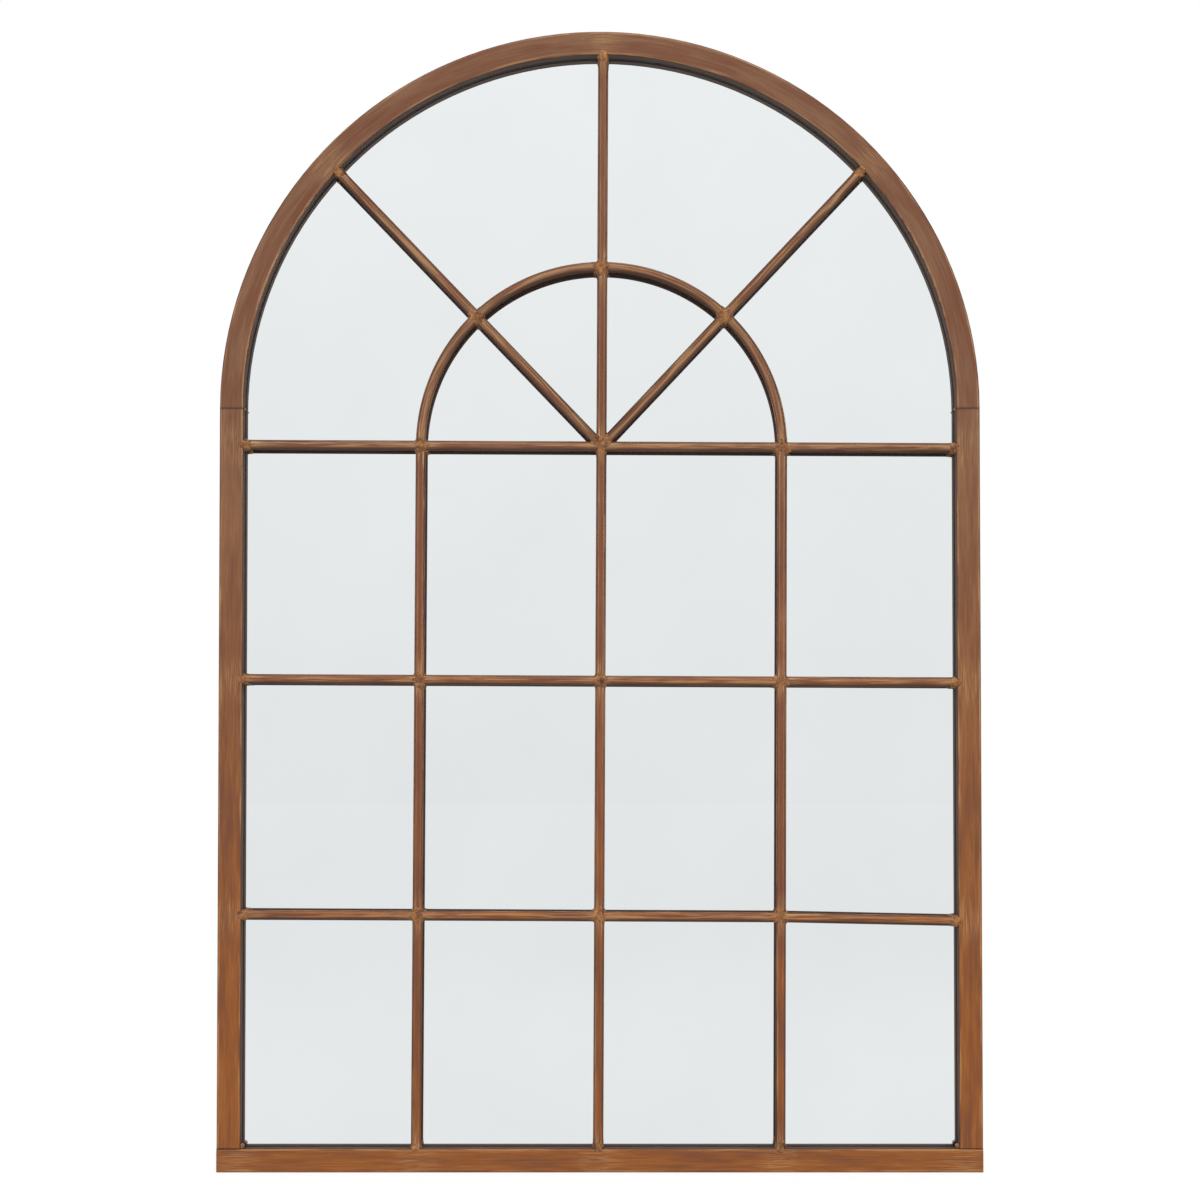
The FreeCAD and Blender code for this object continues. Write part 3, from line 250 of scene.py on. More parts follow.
# %% Squeeze noise into brush marks
def brush_marks(tree, place, seed, width, length, detail, shift):
    """Noise whose marks are that wide and that long."""
    moved = add(tree, "ShaderNodeVectorMath", (place, (shift, seed, shift)), operation="ADD")
    scaled = add(
        tree, "ShaderNodeVectorMath", (moved, (1 / width, 1 / width, 1 / length)), operation="MULTIPLY")
    return add(tree, NOISE, {
        "Vector": scaled, "Scale": 1.0, "Detail": detail, "Roughness": 0.6}).outputs["Fac"]


def distance_along(tree, parts, spot):
    """How far a point lies from a spot on the tube's run."""
    offset = add(tree, MATH, (parts["Z"], spot), operation="SUBTRACT")
    return add(tree, MATH, (offset,), operation="ABSOLUTE")


# %% Build the lacquer
def dry_brushed_lacquer(
        name, run, half_face, darkness=0.0, gold_at=(), seed=0.0, wear=0.5, under=0.0, crest=0.0,
        inner=0, seams=()):
    """run(tree) gives the tube's own coordinates; half_face is half the width that faces the viewer.

    wear is how much gold the edges get, crest how much gold and painted highlight the foremost line of a bar
    gets, and under is how much painted shade darkens the undersides. inner says on which side of the run the
    glass lies, +1 or -1 along X, or 0 for both; the walls there take painted shade."""
    material, tree, skin = new_material(name)
    place = run(tree)
    parts = add(tree, SPLIT, (place,)).outputs
    coordinates = add(tree, PLACE).outputs
    facing = add(tree, SPLIT, (coordinates["Normal"],)).outputs
    height = add(tree, SPLIT, (coordinates["Object"],)).outputs["Z"]
    across = add(tree, MATH, (parts["X"],), operation="ABSOLUTE")
    patches = brush_marks(tree, place, seed, PATCH_WIDTH, PATCH_LENGTH, 3.0, 0.31)
    marks = brush_marks(tree, place, seed, MARK_WIDTH, MARK_LENGTH, 3.0, 1.7)
    broad_marks = brush_marks(tree, place, seed, MARK_WIDTH * 4, MARK_LENGTH * 2, 2.0, 2.9)
    grit = brush_marks(tree, place, seed, GRIT, GRIT * 1.6, 2.0, 4.1)

    # Brown over red-brown, in patches with brushed borders. The brown greys with height, a painted sheen.
    painted_sheen = add(tree, RANGE, (height, *SHEEN_HEIGHTS), **SMOOTH)
    body = add(
        tree, MIX, {0: painted_sheen, 6: linear(LACQUER["body low"]), 7: linear(LACQUER["body high"])}, **COLOURS)
    patch_share = add(tree, MATH, (patches, PATCH_SHARE), operation="MULTIPLY")
    mark_share = add(tree, MATH, (broad_marks, BROAD_SHARE), operation="MULTIPLY")
    cover = add(tree, MATH, (patch_share, mark_share), operation="ADD")
    covered = add(tree, RANGE, (cover, *[limit + darkness for limit in PATCH_COVERS]), **SMOOTH)

    # Ochre from the dry brush: fine marks, thickest where a patch is at its lightest.
    fine = add(tree, RANGE, (marks, *OCHRE_MARKS), **SMOOTH)
    lightest = add(tree, RANGE, (cover, *[limit + darkness for limit in OCHRE_COVERS]), **SMOOTH)
    dragged = add(tree, MATH, (fine, lightest), operation="MULTIPLY")
    dragged = add(tree, MATH, (dragged, OCHRE_COAT), operation="MULTIPLY")

    # Edges rubbed to gold in a broken line, gold and a painted highlight on a bar's foremost line, and gold
    # near each weld.
    edge = add(tree, RANGE, (across, *[half_face * share for share in RUBBED_EDGE]), **SMOOTH)
    broken = add(tree, RANGE, (broad_marks, *EDGE_BREAKS, 0.0, wear), **SMOOTH)
    rubbed_gold_and_highlight = add(tree, MATH, (edge, broken), operation="MULTIPLY")
    foremost = add(tree, RANGE, (facing["Y"], *FACES_FRONT), **SMOOTH)
    touched = add(tree, RANGE, (broad_marks, *CREST_BREAKS, 0.0, crest), **SMOOTH)
    crest_gold_and_highlight = add(tree, MATH, (foremost, touched), operation="MULTIPLY")
    rubbed_gold_and_highlight = add(tree, MATH, (rubbed_gold_and_highlight, crest_gold_and_highlight), operation="MAXIMUM")
    for spot in gold_at:
        near = add(tree, RANGE, (distance_along(tree, parts, spot), *GOLD_REACH, 1.0, 0.0), **SMOOTH)
        brushed = add(tree, RANGE, (marks, *WELD_BREAKS, 0.0, wear), **SMOOTH)
        shine = add(tree, MATH, (near, brushed), operation="MULTIPLY")
        rubbed_gold_and_highlight = add(tree, MATH, (rubbed_gold_and_highlight, shine), operation="MAXIMUM")
    rubbed_gold_and_highlight = add(tree, MATH, (rubbed_gold_and_highlight, GOLD_COAT), operation="MULTIPLY")

    # Painted shade in the soot colour darkens the rounded edges, the walls near the glass, the sides of the
    # bars and the undersides of the bars. Real soot lies in the frame's joints.
    shaded_rounding = add(tree, RANGE, (
        across, *[half_face * share for share in SHADED_EDGE], 0.0, EDGE_SHADE), **SMOOTH)
    wall = add(tree, RANGE, (facing["Y"], *FACES_ASIDE), **SMOOTH)
    if inner:
        inside = add(tree, MATH, (parts["X"], inner), operation="MULTIPLY")
        by_glass = add(tree, RANGE, (inside, *[half_face * share for share in INNER_EDGE]), **SMOOTH)
        wall = add(tree, MATH, (wall, by_glass), operation="MULTIPLY")
    shaded_wall = add(tree, MATH, (wall, WALL_SHADE), operation="MULTIPLY")
    shaded_underside = add(tree, RANGE, (facing["Z"], *FACES_DOWN, 0.0, under), **SMOOTH)
    soot_and_shade = [shaded_rounding, shaded_wall, shaded_underside]
    for spot, half_width in seams:
        wander = add(tree, MATH, (marks, SEAM_WANDER), operation="MULTIPLY")
        away = add(tree, MATH, (distance_along(tree, parts, spot), wander), operation="ADD")
        soot_and_shade.append(add(tree, RANGE, (away, half_width, half_width * 6, SEAM_SOOT, 0.0), **SMOOTH))

    # Weld spatter: a bead under the lacquer every few centimetres, its top rubbed bright.
    cells = add(tree, "ShaderNodeTexVoronoi", {"Vector": coordinates["Object"], "Scale": 1 / SPATTER_GAP})
    dots = add(tree, RANGE, (
        cells.outputs["Distance"], 2 * SPATTER / SPATTER_GAP, SPATTER / SPATTER_GAP), **SMOOTH)
    some = add(tree, RANGE, (patches, *BEAD_BREAKS), **SMOOTH)
    bead = add(tree, MATH, (dots, some), operation="MULTIPLY")
    bead = add(tree, MATH, (bead, bead), operation="MULTIPLY")
    bead_shine = add(tree, MATH, (bead, BEAD_GOLD), operation="MULTIPLY")

    # From the bottom coat up.
    colour = linear(LACQUER["deep"])
    coats = [(body, covered), (linear(LACQUER["ochre"]), dragged), (linear(LACQUER["gold"]), rubbed_gold_and_highlight)]
    # Painted shade, and soot in the joints, both in the soot colour.
    coats += [(linear(LACQUER["soot_and_shade"]), amount) for amount in soot_and_shade]
    coats += [(linear(LACQUER["gold"]), bead_shine)]
    for coat, amount in coats:
        colour = add(tree, MIX, {0: amount, 6: colour, 7: coat}, **COLOURS)

    # The fattest marks are the smoothest, and marks, grit and beads stand up a little.
    polish = add(tree, RANGE, (marks, *POLISHED_MARKS, *POLISH), **SMOOTH)
    dulled = add(tree, MATH, (wall, WALL_DULLS), operation="MULTIPLY")
    roughness = add(tree, MATH, (polish, dulled), operation="ADD")
    mark_relief = add(tree, MATH, (marks, MARK_RELIEF), operation="MULTIPLY")
    grit_relief = add(tree, MATH, (grit, GRIT_RELIEF), operation="MULTIPLY")
    relief = add(tree, MATH, (mark_relief, grit_relief), operation="ADD")
    bead_relief = add(tree, MATH, (bead, BEAD_RELIEF), operation="MULTIPLY")
    relief = add(tree, MATH, (relief, bead_relief), operation="ADD")
    bump = add(tree, "ShaderNodeBump", {
        "Height": relief, "Strength": RELIEF_STRENGTH, "Distance": RELIEF_DEPTH})
    wire(tree, skin, {
        "Base Color": colour, "Metallic": BRONZE_SHARE, "Roughness": roughness, "Normal": bump})
    return material


def dress(node, material):
    """Gives a node that one material, in place of what the solids came with."""
    mesh = NODES[node].data
    mesh.materials.clear()
    mesh.materials.append(material)


# %% Lacquer the frame
HALF_FACE = TUBE_FACE / 2
UPRIGHT, LEVEL = 0.0, math.pi / 2
HALF_SEAM = 0.5 * MM
CORNER_SPOT = 0.38          # metres from the middle to the gold beside a bottom corner
for side in ("left", "right"):
    stile = middle(f"{side}_stile")
    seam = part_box(f"{side}_stile")[1].z - stile.z
    dress(f"{side}_stile", dry_brushed_lacquer(
        f"lacquer_{side}_stile",
        lambda tree, stile=stile: along_straight(tree, stile.x, stile.z, UPRIGHT), HALF_FACE,
        gold_at=[weld.z - stile.z for weld in lumps(f"{side}_stile_welds")], seed=stile.x,
        inner=1 if side == "left" else -1, seams=((seam, HALF_SEAM),)))
rail = middle("bottom_rail")
rail_lacquer = dry_brushed_lacquer(
    "lacquer_bottom_rail", lambda tree: along_straight(tree, rail.x, rail.z, LEVEL), HALF_FACE,
    gold_at=[weld.x for weld in lumps("bottom_rail_welds")] + [-CORNER_SPOT, CORNER_SPOT], seed=0.2,
    inner=-1)
dress("bottom_rail", rail_lacquer)
dress("rail_end_plates", rail_lacquer)
quarter_arc = ARCH_RADIUS * math.pi / 2
dress("arch_rail", dry_brushed_lacquer(
    "lacquer_arch", lambda tree: along_arc(tree, 0, SPRING, ARCH_RADIUS), HALF_FACE, darkness=0.04,
    seed=0.4, inner=-1,
    gold_at=[math.atan2(weld.x, weld.z - SPRING) * ARCH_RADIUS for weld in lumps("arch_rail_welds")],
    seams=((quarter_arc, HALF_SEAM), (-quarter_arc, HALF_SEAM))))
print("frame lacquered")

# %% [markdown]
# ## The grille's bars
#
# The bars carry the same lacquer, but a brush that runs along a thin round tube only touches the front of it.
# So they are darker, with gold where it did touch, most of all beside the welds. Along the front of the level
# and arched bars that gold is also a painted highlight, and the bars' sides and undersides take painted
# shade. The welds' places, read from the solids, say where along each bar that is.

# %% Lacquer the bars
def bar_lean(node, upright):
    """How far a straight bar's run leans to the right of upright, from the corners of its box."""
    low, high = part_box(node)
    return math.atan2(high.x - low.x - 2 * BAR_RADIUS, high.z - low.z) * upright


# under sets the painted shade on the bars' undersides.
BAR_FINISH = {"darkness": 0.08, "wear": 0.9, "under": 0.75}
# Gold and a painted highlight along the front of the level and arched bars.
LEVEL_CREST, ARCH_CREST = 0.65, 0.6
BEYOND_END = 10 * MM        # a weld this far past a bar's end still gilds it
STRAIGHT_BARS = {
    "transom": LEVEL, "left_mullion": UPRIGHT, "centre_mullion": UPRIGHT, "right_mullion": UPRIGHT,
    "king_bar": UPRIGHT, "left_spoke": bar_lean("left_spoke", -1), "right_spoke": bar_lean("right_spoke", 1)}
for row in ("middle", "lower"):
    for spot in ("far_left", "left", "right", "far_right"):
        STRAIGHT_BARS[f"{row}_bar_{spot}"] = LEVEL
for count, (node, lean) in enumerate(STRAIGHT_BARS.items()):
    centre = middle(node)
    direction = Vector((math.sin(lean), 0, math.cos(lean)))
    spots = []
    for weld in ALL_WELDS:
        offset = Vector((weld.x - centre.x, 0, weld.z - centre.z))
        if (offset - direction * offset.dot(direction)).length < BAR_RADIUS:
            spots.append(offset.dot(direction))
    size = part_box(node)[1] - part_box(node)[0]
    half_length = size.dot(Vector((abs(direction.x), 0, direction.z))) / 2
    spots = [spot for spot in spots if abs(spot) < half_length + BEYOND_END]
    dress(node, dry_brushed_lacquer(
        f"lacquer_{node}",
        lambda tree, centre=centre, lean=lean: along_straight(tree, centre.x, centre.z, lean),
        BAR_RADIUS, gold_at=spots, seed=count * 0.37, crest=0.0 if lean == UPRIGHT else LEVEL_CREST,
        **BAR_FINISH))

crown = middle("transom")
inner_radius = (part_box("inner_arch_far_right")[1].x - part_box("inner_arch_far_left")[0].x) / 2 - BAR_RADIUS
inner_x = (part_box("inner_arch_far_right")[1].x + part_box("inner_arch_far_left")[0].x) / 2
for count, spot in enumerate(("far_left", "left", "right", "far_right")):
    node = f"inner_arch_{spot}"
    spots = [
        math.atan2(weld.x - inner_x, weld.z - crown.z) * inner_radius for weld in ALL_WELDS
        if abs(math.hypot(weld.x - inner_x, weld.z - crown.z) - inner_radius) < BAR_RADIUS]
    dress(node, dry_brushed_lacquer(
        f"lacquer_{node}", lambda tree: along_arc(tree, inner_x, crown.z, inner_radius),
        BAR_RADIUS, gold_at=spots, seed=5 + count * 0.41, crest=ARCH_CREST, **BAR_FINISH))
print("bars lacquered:", len(STRAIGHT_BARS) + 4)

# %% [markdown]
# ## Silvered glass
#
# A mirror is float glass with silver on its back, so what the eye gets is the silver's reflection,
# a little greener and darker than the light that falls on it. Modelling the glass as clear would make
# the renderer trace each ray twice through it for the same picture. Here the front is the silver, and
# the cut edges are bottle green, as they are on any sheet of float glass. The back has a grey paint.

# %% Make the mirror
SILVER_DARK, SILVER_LIGHT = "#DDE1E2", "#E6E8E9"
HAZE = 160 * MM             # silvering is never quite even
GLASS_EDGE = "#5E7F73"
BACKING_PAINT = "#6F7375"
PAINT_ROUGHNESS = 0.3
silvered_glass, tree, skin = new_material("silvered_float_glass")
coordinates = add(tree, PLACE).outputs
facing = add(tree, SPLIT, (coordinates["Normal"],)).outputs["Y"]
is_back = add(tree, MATH, (facing, 0.5), operation="GREATER_THAN")
is_front = add(tree, MATH, (facing, -0.5), operation="LESS_THAN")
haze = add(tree, NOISE, {"Vector": coordinates["Object"], "Scale": 1 / HAZE, "Detail": 4.0})
silver = add(
    tree, MIX, {0: haze.outputs["Fac"], 6: linear(SILVER_DARK), 7: linear(SILVER_LIGHT)}, **COLOURS)
edge_or_back = add(tree, MIX, {0: is_back, 6: linear(GLASS_EDGE), 7: linear(BACKING_PAINT)}, **COLOURS)
sheet = add(tree, MIX, {0: is_front, 6: edge_or_back, 7: silver}, **COLOURS)
roughness = add(tree, RANGE, {"Value": is_front, "To Min": PAINT_ROUGHNESS, "To Max": 0.0})
wire(tree, skin, {"Base Color": sheet, "Metallic": is_front, "Roughness": roughness})
dress("mirror_glass", silvered_glass)
print("mirror made")

# %% [markdown]
# ## What is behind
#
# Foam tape, hardboard, zinc-plated steel and rubber are plain things, but each has its own surface:
# cells in the foam, fibres pressed flat in the board, the cloudy grain of zinc, the bloom on rubber.
# One function makes all four from a fine and a coarse noise, because they differ in numbers only.

# %% Make the hidden materials
TONE_STOPS = (0.12, 0.42)   # where the product of two noises has its dark and its light tone
GRAIN_GLOSS = 0.08          # how far a grain's roughness strays from the middle


def plain_material(name, dark, light, fine, coarse, metallic, roughness, bump, bump_height):
    """Two tones mixed by noise; fine and coarse are the sizes of its grains."""
    material, tree, skin = new_material(name)
    place = add(tree, PLACE).outputs["Object"]
    grains = add(tree, NOISE, {
        "Vector": place, "Scale": 1 / fine, "Detail": 3.0, "Roughness": 0.65}).outputs["Fac"]
    clouds = add(tree, NOISE, {"Vector": place, "Scale": 1 / coarse, "Detail": 2.0}).outputs["Fac"]
    both = add(tree, MATH, (grains, clouds), operation="MULTIPLY")
    ramp = add(tree, "ShaderNodeValToRGB", (both,))
    for stop, position, tone in zip(ramp.color_ramp.elements, TONE_STOPS, (dark, light)):
        stop.position, stop.color = position, linear(tone)
    spread = add(tree, RANGE, {
        "Value": grains, "To Min": roughness - GRAIN_GLOSS, "To Max": roughness + GRAIN_GLOSS})
    dents = add(tree, "ShaderNodeBump", {"Height": grains, "Strength": bump, "Distance": bump_height})
    wire(tree, skin, {
        "Base Color": ramp.outputs["Color"], "Metallic": metallic, "Roughness": spread, "Normal": dents})
    return material


foam = plain_material(
    "closed_cell_foam", "#0B0908", "#1E1A17", 0.8 * MM, 9 * MM, 0.0, 0.9, 0.6, 0.3 * MM)
hardboard = plain_material(
    "pressed_hardboard", "#755539", "#8C6A4C", 1.6 * MM, 45 * MM, 0.0, 0.7, 0.25, 0.15 * MM)
zinc = plain_material(
    "zinc_plated_steel", "#8D9092", "#C9CBCA", 2.2 * MM, 12 * MM, 1.0, 0.34, 0.1, 0.05 * MM)
rubber = plain_material(
    "moulded_rubber", "#121212", "#2A2A29", 0.5 * MM, 14 * MM, 0.0, 0.75, 0.2, 0.06 * MM)
for material, pieces in (
        (foam, ["glazing_tape"]),
        (hardboard, ["backing_board"]),
        (rubber, ["wall_bumpers"]),
        (zinc, ["glass_clips", "clip_screws", "hanger_screws", "bumper_screws", "left_hanger_strap",
                "right_hanger_strap", "left_hanger_ring", "right_hanger_ring"])):
    for node in pieces:
        dress(node, material)
print("hidden materials made")

# %% [markdown]
# ## Welds
#
# A bar is joined to the next by a short, hasty weld that is lacquered over: a knuckle with a lumpy
# skin and a toe that runs out thinly on the bar. The solids have plain cones there. For the looks
# each weld is built anew: cones that taper into the bars and a squashed ball are melted together by a
# voxel remesh, smoothed, and roughened by noise. Sculpting by hand would look no better at this size.

# %% Melt and roughen a group of welds
VOXEL = 0.7 * MM
COARSE_LUMP, FINE_LUMP = 3.6 * MM, 1.3 * MM


def cone(mesh, start, direction, length, start_radius, end_radius):
    """Adds a closed cone to the mesh, from start along direction."""
    turn = Vector((0, 0, 1)).rotation_difference(direction).to_matrix().to_4x4()
    place = Matrix.Translation(start) @ turn @ Matrix.Translation((0, 0, length / 2))
    bmesh.ops.create_cone(
        mesh, cap_ends=True, segments=28, radius1=start_radius, radius2=end_radius, depth=length,
        matrix=place)


def ball(mesh, centre, radii):
    place = Matrix.Translation(centre) @ Matrix.Diagonal((*radii, 1))
    bmesh.ops.create_icosphere(mesh, subdivisions=3, radius=1.0, matrix=place)


def melted(mesh):
    """Turns the overlapping shapes of one weld into a single skin with soft joints."""
    data = bpy.data.meshes.new("melting")
    mesh.to_mesh(data)
    mesh.free()
    piece = bpy.data.objects.new("melting", data)
    bpy.context.scene.collection.objects.link(piece)
    remesh = piece.modifiers.new("melt", "REMESH")
    remesh.mode, remesh.voxel_size = "VOXEL", VOXEL
    smooth = piece.modifiers.new("soften", "SMOOTH")
    smooth.factor, smooth.iterations = 0.5, 6
    bpy.context.view_layer.update()
    skin = bpy.data.meshes.new_from_object(piece.evaluated_get(bpy.context.evaluated_depsgraph_get()))
    bpy.data.objects.remove(piece)
    bpy.data.meshes.remove(data)
    return skin


def weld_piece(name, welds, lumpiness, seed):
    """Joins melted welds into one piece and gives it an uneven surface."""
    joined = bmesh.new()
    for weld in welds:
        skin = melted(weld)
        joined.from_mesh(skin)
        bpy.data.meshes.remove(skin)
    joined.normal_update()
    offset = Vector((seed, seed * 2, 0))
    for vert in joined.verts:
        coarse = noise.noise((vert.co / COARSE_LUMP) + offset)
        fine = noise.noise((vert.co / FINE_LUMP) + offset)
        vert.co += vert.normal * (coarse * lumpiness + fine * lumpiness * 0.3)
    for face in joined.faces:
        face.smooth = True
    data = bpy.data.meshes.new(name)
    joined.to_mesh(data)
    joined.free()
    piece = bpy.data.objects.new(name, data)
    bpy.context.scene.collection.objects.link(piece)
    return piece


def in_plane(angle):
    """A direction in the plane of the grille, from an angle above the right."""
    return Vector((math.cos(angle), 0, math.sin(angle)))


# %% Build the welds where bars cross
first, last = sorted(lumps("middle_row_welds"), key=lambda centre: centre.x)[::2]
SKEW = math.atan2(last.z - first.z, last.x - first.x)
QUARTER = math.pi / 2
KNUCKLE_SWELL, KNUCKLE_TOE = (0.9, 1.5), (9, 13)    # millimetres, from the smallest to the largest
FAN_SWELL = 2.4 * MM
TOE_SINK = 0.3 * MM         # how far the end of a toe lies under the bar's skin
print(f"the grille hangs {math.degrees(SKEW):.2f} degrees out of level")


def knuckle(centre, arms, swell):
    """A squashed ball with a tapering toe along each arm."""
    mesh = bmesh.new()
    ball(mesh, centre, (BAR_RADIUS + swell, BAR_RADIUS + swell * 0.75, BAR_RADIUS + swell))
    for angle in arms:
        length = random.uniform(*KNUCKLE_TOE) * MM
        cone(mesh, centre, in_plane(angle), length, BAR_RADIUS + swell * 0.75, BAR_RADIUS - TOE_SINK)
    return mesh


crossings = []
for centre in CROSSINGS:
    centre = Vector((centre.x, BAR_LINE, centre.z))
    out = Vector((centre.x - inner_x, 0, centre.z - crown.z))
    if centre.z > crown.z + inner_radius / 2:
        radial = math.atan2(out.z, out.x)
        arms = [radial + quarter * QUARTER for quarter in range(4)]
    else:
        arms = [SKEW + quarter * QUARTER for quarter in range(4)]
    crossings.append(knuckle(centre, arms, random.uniform(*KNUCKLE_SWELL) * MM))
crossing_piece = weld_piece("crossing_weld_knuckles", crossings, 0.6 * MM, 3.0)

fan_centre = Vector((FAN.x, BAR_LINE, FAN.z))
fan_arms = [SKEW, SKEW + QUARTER, SKEW + 2 * QUARTER, SKEW + 3 * QUARTER]
fan_arms += [QUARTER - STRAIGHT_BARS["left_spoke"], QUARTER - STRAIGHT_BARS["right_spoke"]]
fan_piece = weld_piece("fan_weld_knuckle", [knuckle(fan_centre, fan_arms, FAN_SWELL)], 0.85 * MM, 5.0)

# %% [markdown]
# Where a bar ends at the frame, its front is flush with the face of the tube, and the weld runs a few
# millimetres over on to that face. One toe on the bar and a flattened ball on the face make that. The
# corners of the frame have a plain bead along the depth of the tube.

# %% Build the welds at the frame
END_SWELL, END_TOE, SPILL_SHIFT = (0.7, 1.3), (9, 12), (0.5, 1.5)   # millimetres
SPILL_RADII = (4.4 * MM, 1.1 * MM, 4.4 * MM)
ends = []
for centre in BAR_ENDS:
    if centre.z < 2 * TUBE_FACE:
        outward = Vector((0, 0, -1))
    elif centre.z > SPRING:
        outward = Vector((centre.x, 0, centre.z - SPRING)).normalized()
    else:
        outward = Vector((math.copysign(1, centre.x), 0, 0))
    centre = Vector((centre.x, BAR_LINE, centre.z))
    start = centre + outward * 0.5 * MM
    swell = random.uniform(*END_SWELL) * MM
    end = bmesh.new()
    toe = random.uniform(*END_TOE) * MM
    cone(end, start, -outward, toe, BAR_RADIUS + swell, BAR_RADIUS - TOE_SINK)
    spill = Vector((centre.x, FRONT + 0.4 * MM, centre.z)) + outward * random.uniform(*SPILL_SHIFT) * MM
    ball(end, spill, SPILL_RADII)
    ends.append(end)
end_piece = weld_piece("bar_end_weld_spill", ends, 0.5 * MM, 7.0)

BOTTOM_BEAD, ARCH_BEAD = 3.0 * MM, 1.1 * MM
half_bead = -FRONT - 3.2 * MM
corners = []
for centre in lumps("frame_corner_welds"):
    side = math.copysign(1, centre.x)
    radius = BOTTOM_BEAD if centre.z < SPRING / 2 else ARCH_BEAD
    lane = Vector((centre.x - side * 0.2 * MM, 0, centre.z))
    bead = bmesh.new()
    cone(bead, lane - Vector((0, half_bead, 0)), Vector((0, 1, 0)), 2 * half_bead, radius, radius)
    corners.append(bead)
corner_piece = weld_piece("frame_corner_weld_beads", corners, 0.35 * MM, 9.0)

# %% [markdown]
# The welds take the same lacquer as the bars. Noise in all directions replaces the brush marks, since
# nobody brushes along a knuckle, and its high spots are rubbed to gold.

# %% Lacquer the welds
weld_lacquer = plain_material(
    "lacquered_weld_metal", "#4E2E1D", "#A87444", 2.4 * MM, 7 * MM, 0.55, 0.42, 0.35, 0.3 * MM)
for piece, nodes in (
        (crossing_piece, CROSSING_NODES), (fan_piece, ("fan_weld",)), (end_piece, END_NODES),
        (corner_piece, ("frame_corner_welds",))):
    piece.data.materials.clear()
    piece.data.materials.append(weld_lacquer)
    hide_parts(*nodes)
    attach(piece, "frame")
    print(piece.name, len(piece.data.polygons), "faces")

# %% [markdown]
# ## Floor, light and camera
#
# The photograph was taken straight on, in soft light, against white, and the mirror shows the ground
# as evenly as the sky. A floor that only the lamps light would be brighter near them and leave a band
# in the glass. So this one is like an opal sheet that is lit from below: a dark, dull surface with an
# even white glow. Two tall lamps stand left and right of the camera, so each round bar gets a light
# streak on either side of its middle, and a third hangs above. The sky is white where the camera looks
# straight at it. For all that it lights, and in the mirror, it is dimmer at the sides.

# %% Lay the floor
FLOOR_REACH = 40.0          # metres, so its edge is out of sight
WHITE = "#FFFFFF"
floor_mesh = bpy.data.meshes.new("floor")
floor_mesh.from_pydata(
    [(-FLOOR_REACH, -FLOOR_REACH, 0), (FLOOR_REACH, -FLOOR_REACH, 0),
     (FLOOR_REACH, FLOOR_REACH, 0), (-FLOOR_REACH, FLOOR_REACH, 0)], [], [(0, 1, 2, 3)])
floor = bpy.data.objects.new("floor", floor_mesh)
bpy.context.scene.collection.objects.link(floor)
pale, tree, skin = new_material("pale_floor")
wire(tree, skin, {
    "Base Color": linear("#595958"), "Emission Color": linear(WHITE), "Emission Strength": 0.89,
    "Roughness": 0.9, "Specular IOR Level": 0.1})
floor_mesh.materials.append(pale)
print("floor laid")

# %% Light the object
SKY_HEIGHTS, HEIGHT_GLOW = (-0.05, 0.25), (0.985, 1.12)     # from just under the horizon upwards
SKY_SIDES, SIDE_GLOW = (0.3, 0.8), (1.0, 0.35)              # from straight in front to the sides
AIM = Vector((0, 0, 0.6))
world = bpy.data.worlds.new("studio")
bpy.context.scene.world = world
world.use_nodes = True
tree = world.node_tree
tree.nodes.clear()
direction = add(tree, SPLIT, (add(tree, PLACE).outputs["Generated"],)).outputs
by_height = add(tree, RANGE, (direction["Z"], *SKY_HEIGHTS, *HEIGHT_GLOW))
aside = add(tree, MATH, (direction["X"],), operation="ABSOLUTE")
by_side = add(tree, RANGE, (aside, *SKY_SIDES, *SIDE_GLOW), **SMOOTH)
glow = add(tree, MATH, (by_height, by_side), operation="MULTIPLY")
lit = add(tree, "ShaderNodeBackground", {"Color": linear(WHITE), "Strength": glow})
seen = add(tree, "ShaderNodeBackground", {"Color": linear(WHITE), "Strength": 1.0})
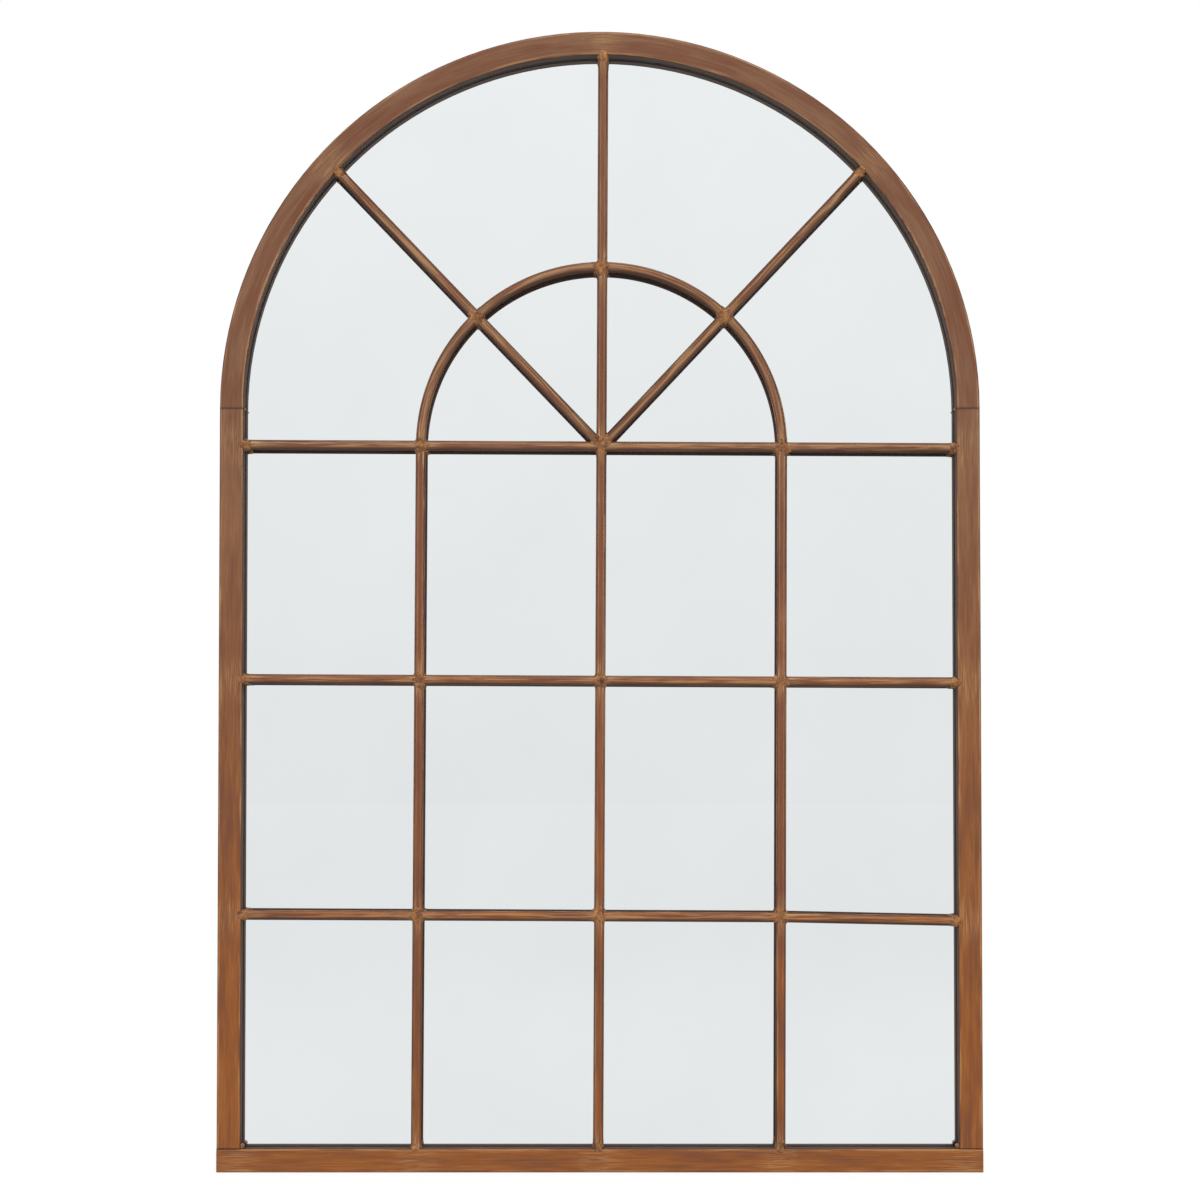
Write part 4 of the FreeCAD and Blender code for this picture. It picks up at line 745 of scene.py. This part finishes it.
straight = add(tree, "ShaderNodeLightPath").outputs["Is Camera Ray"]
add(tree, "ShaderNodeOutputWorld", {"Surface": add(tree, "ShaderNodeMixShader", (straight, lit, seen))})


def soft_light(name, place, width, height, power):
    """A large oblong lamp that looks at the middle of the mirror."""
    lamp = bpy.data.lights.new(name, "AREA")
    lamp.shape, lamp.size, lamp.size_y, lamp.energy = "RECTANGLE", width, height, power
    stand = bpy.data.objects.new(name, lamp)
    stand.location = place
    stand.rotation_mode = "QUATERNION"
    stand.rotation_quaternion = (AIM - stand.location).to_track_quat("-Z", "Y")
    bpy.context.scene.collection.objects.link(stand)


soft_light("left_softbox", Vector((-2.6, -2.0, 1.2)), 0.7, 2.2, 24)
soft_light("right_softbox", Vector((2.6, -2.0, 1.2)), 0.7, 2.2, 24)
soft_light("top_softbox", Vector((0, -1.6, 3.2)), 2.4, 0.8, 20)
print("lights:", [light.name for light in bpy.data.lights])

# %% [markdown]
# The photograph was taken from close above the floor, and the uprights stay upright because the lens
# was shifted. The shift is kept when the scene is seen from other sides, where more of it would cut the
# mirror off. So only a little is used here, and a slight tilt of the camera does the rest.

# %% Place the camera
PHOTO_WIDTH = 1.2583        # metres of the frame's face that the picture's width spans
DISTANCE = 3.55
TILT = math.radians(2.4)
SHIFT = 0.025
OFF_CENTRE = 0.2 * MM
picture_centre = Vector((0, FRONT, 0.5978))
lens_data = bpy.data.cameras.new("camera")
lens_data.sensor_width = 36.0
lens_data.lens = lens_data.sensor_width * DISTANCE / PHOTO_WIDTH
lens_data.shift_y = SHIFT
lens_data.clip_end = 100
camera = bpy.data.objects.new("camera", lens_data)
bpy.context.scene.collection.objects.link(camera)
rise = DISTANCE * math.tan(TILT) + SHIFT * PHOTO_WIDTH
camera.location = picture_centre + Vector((OFF_CENTRE, -DISTANCE, -rise))
camera.rotation_euler = (math.pi / 2 + TILT, 0, 0)
bpy.context.scene.camera = camera
bpy.context.scene.view_settings.view_transform = "Standard"
print(f"camera {camera.location.z:.3f} m high, lens {lens_data.lens:.1f} mm")
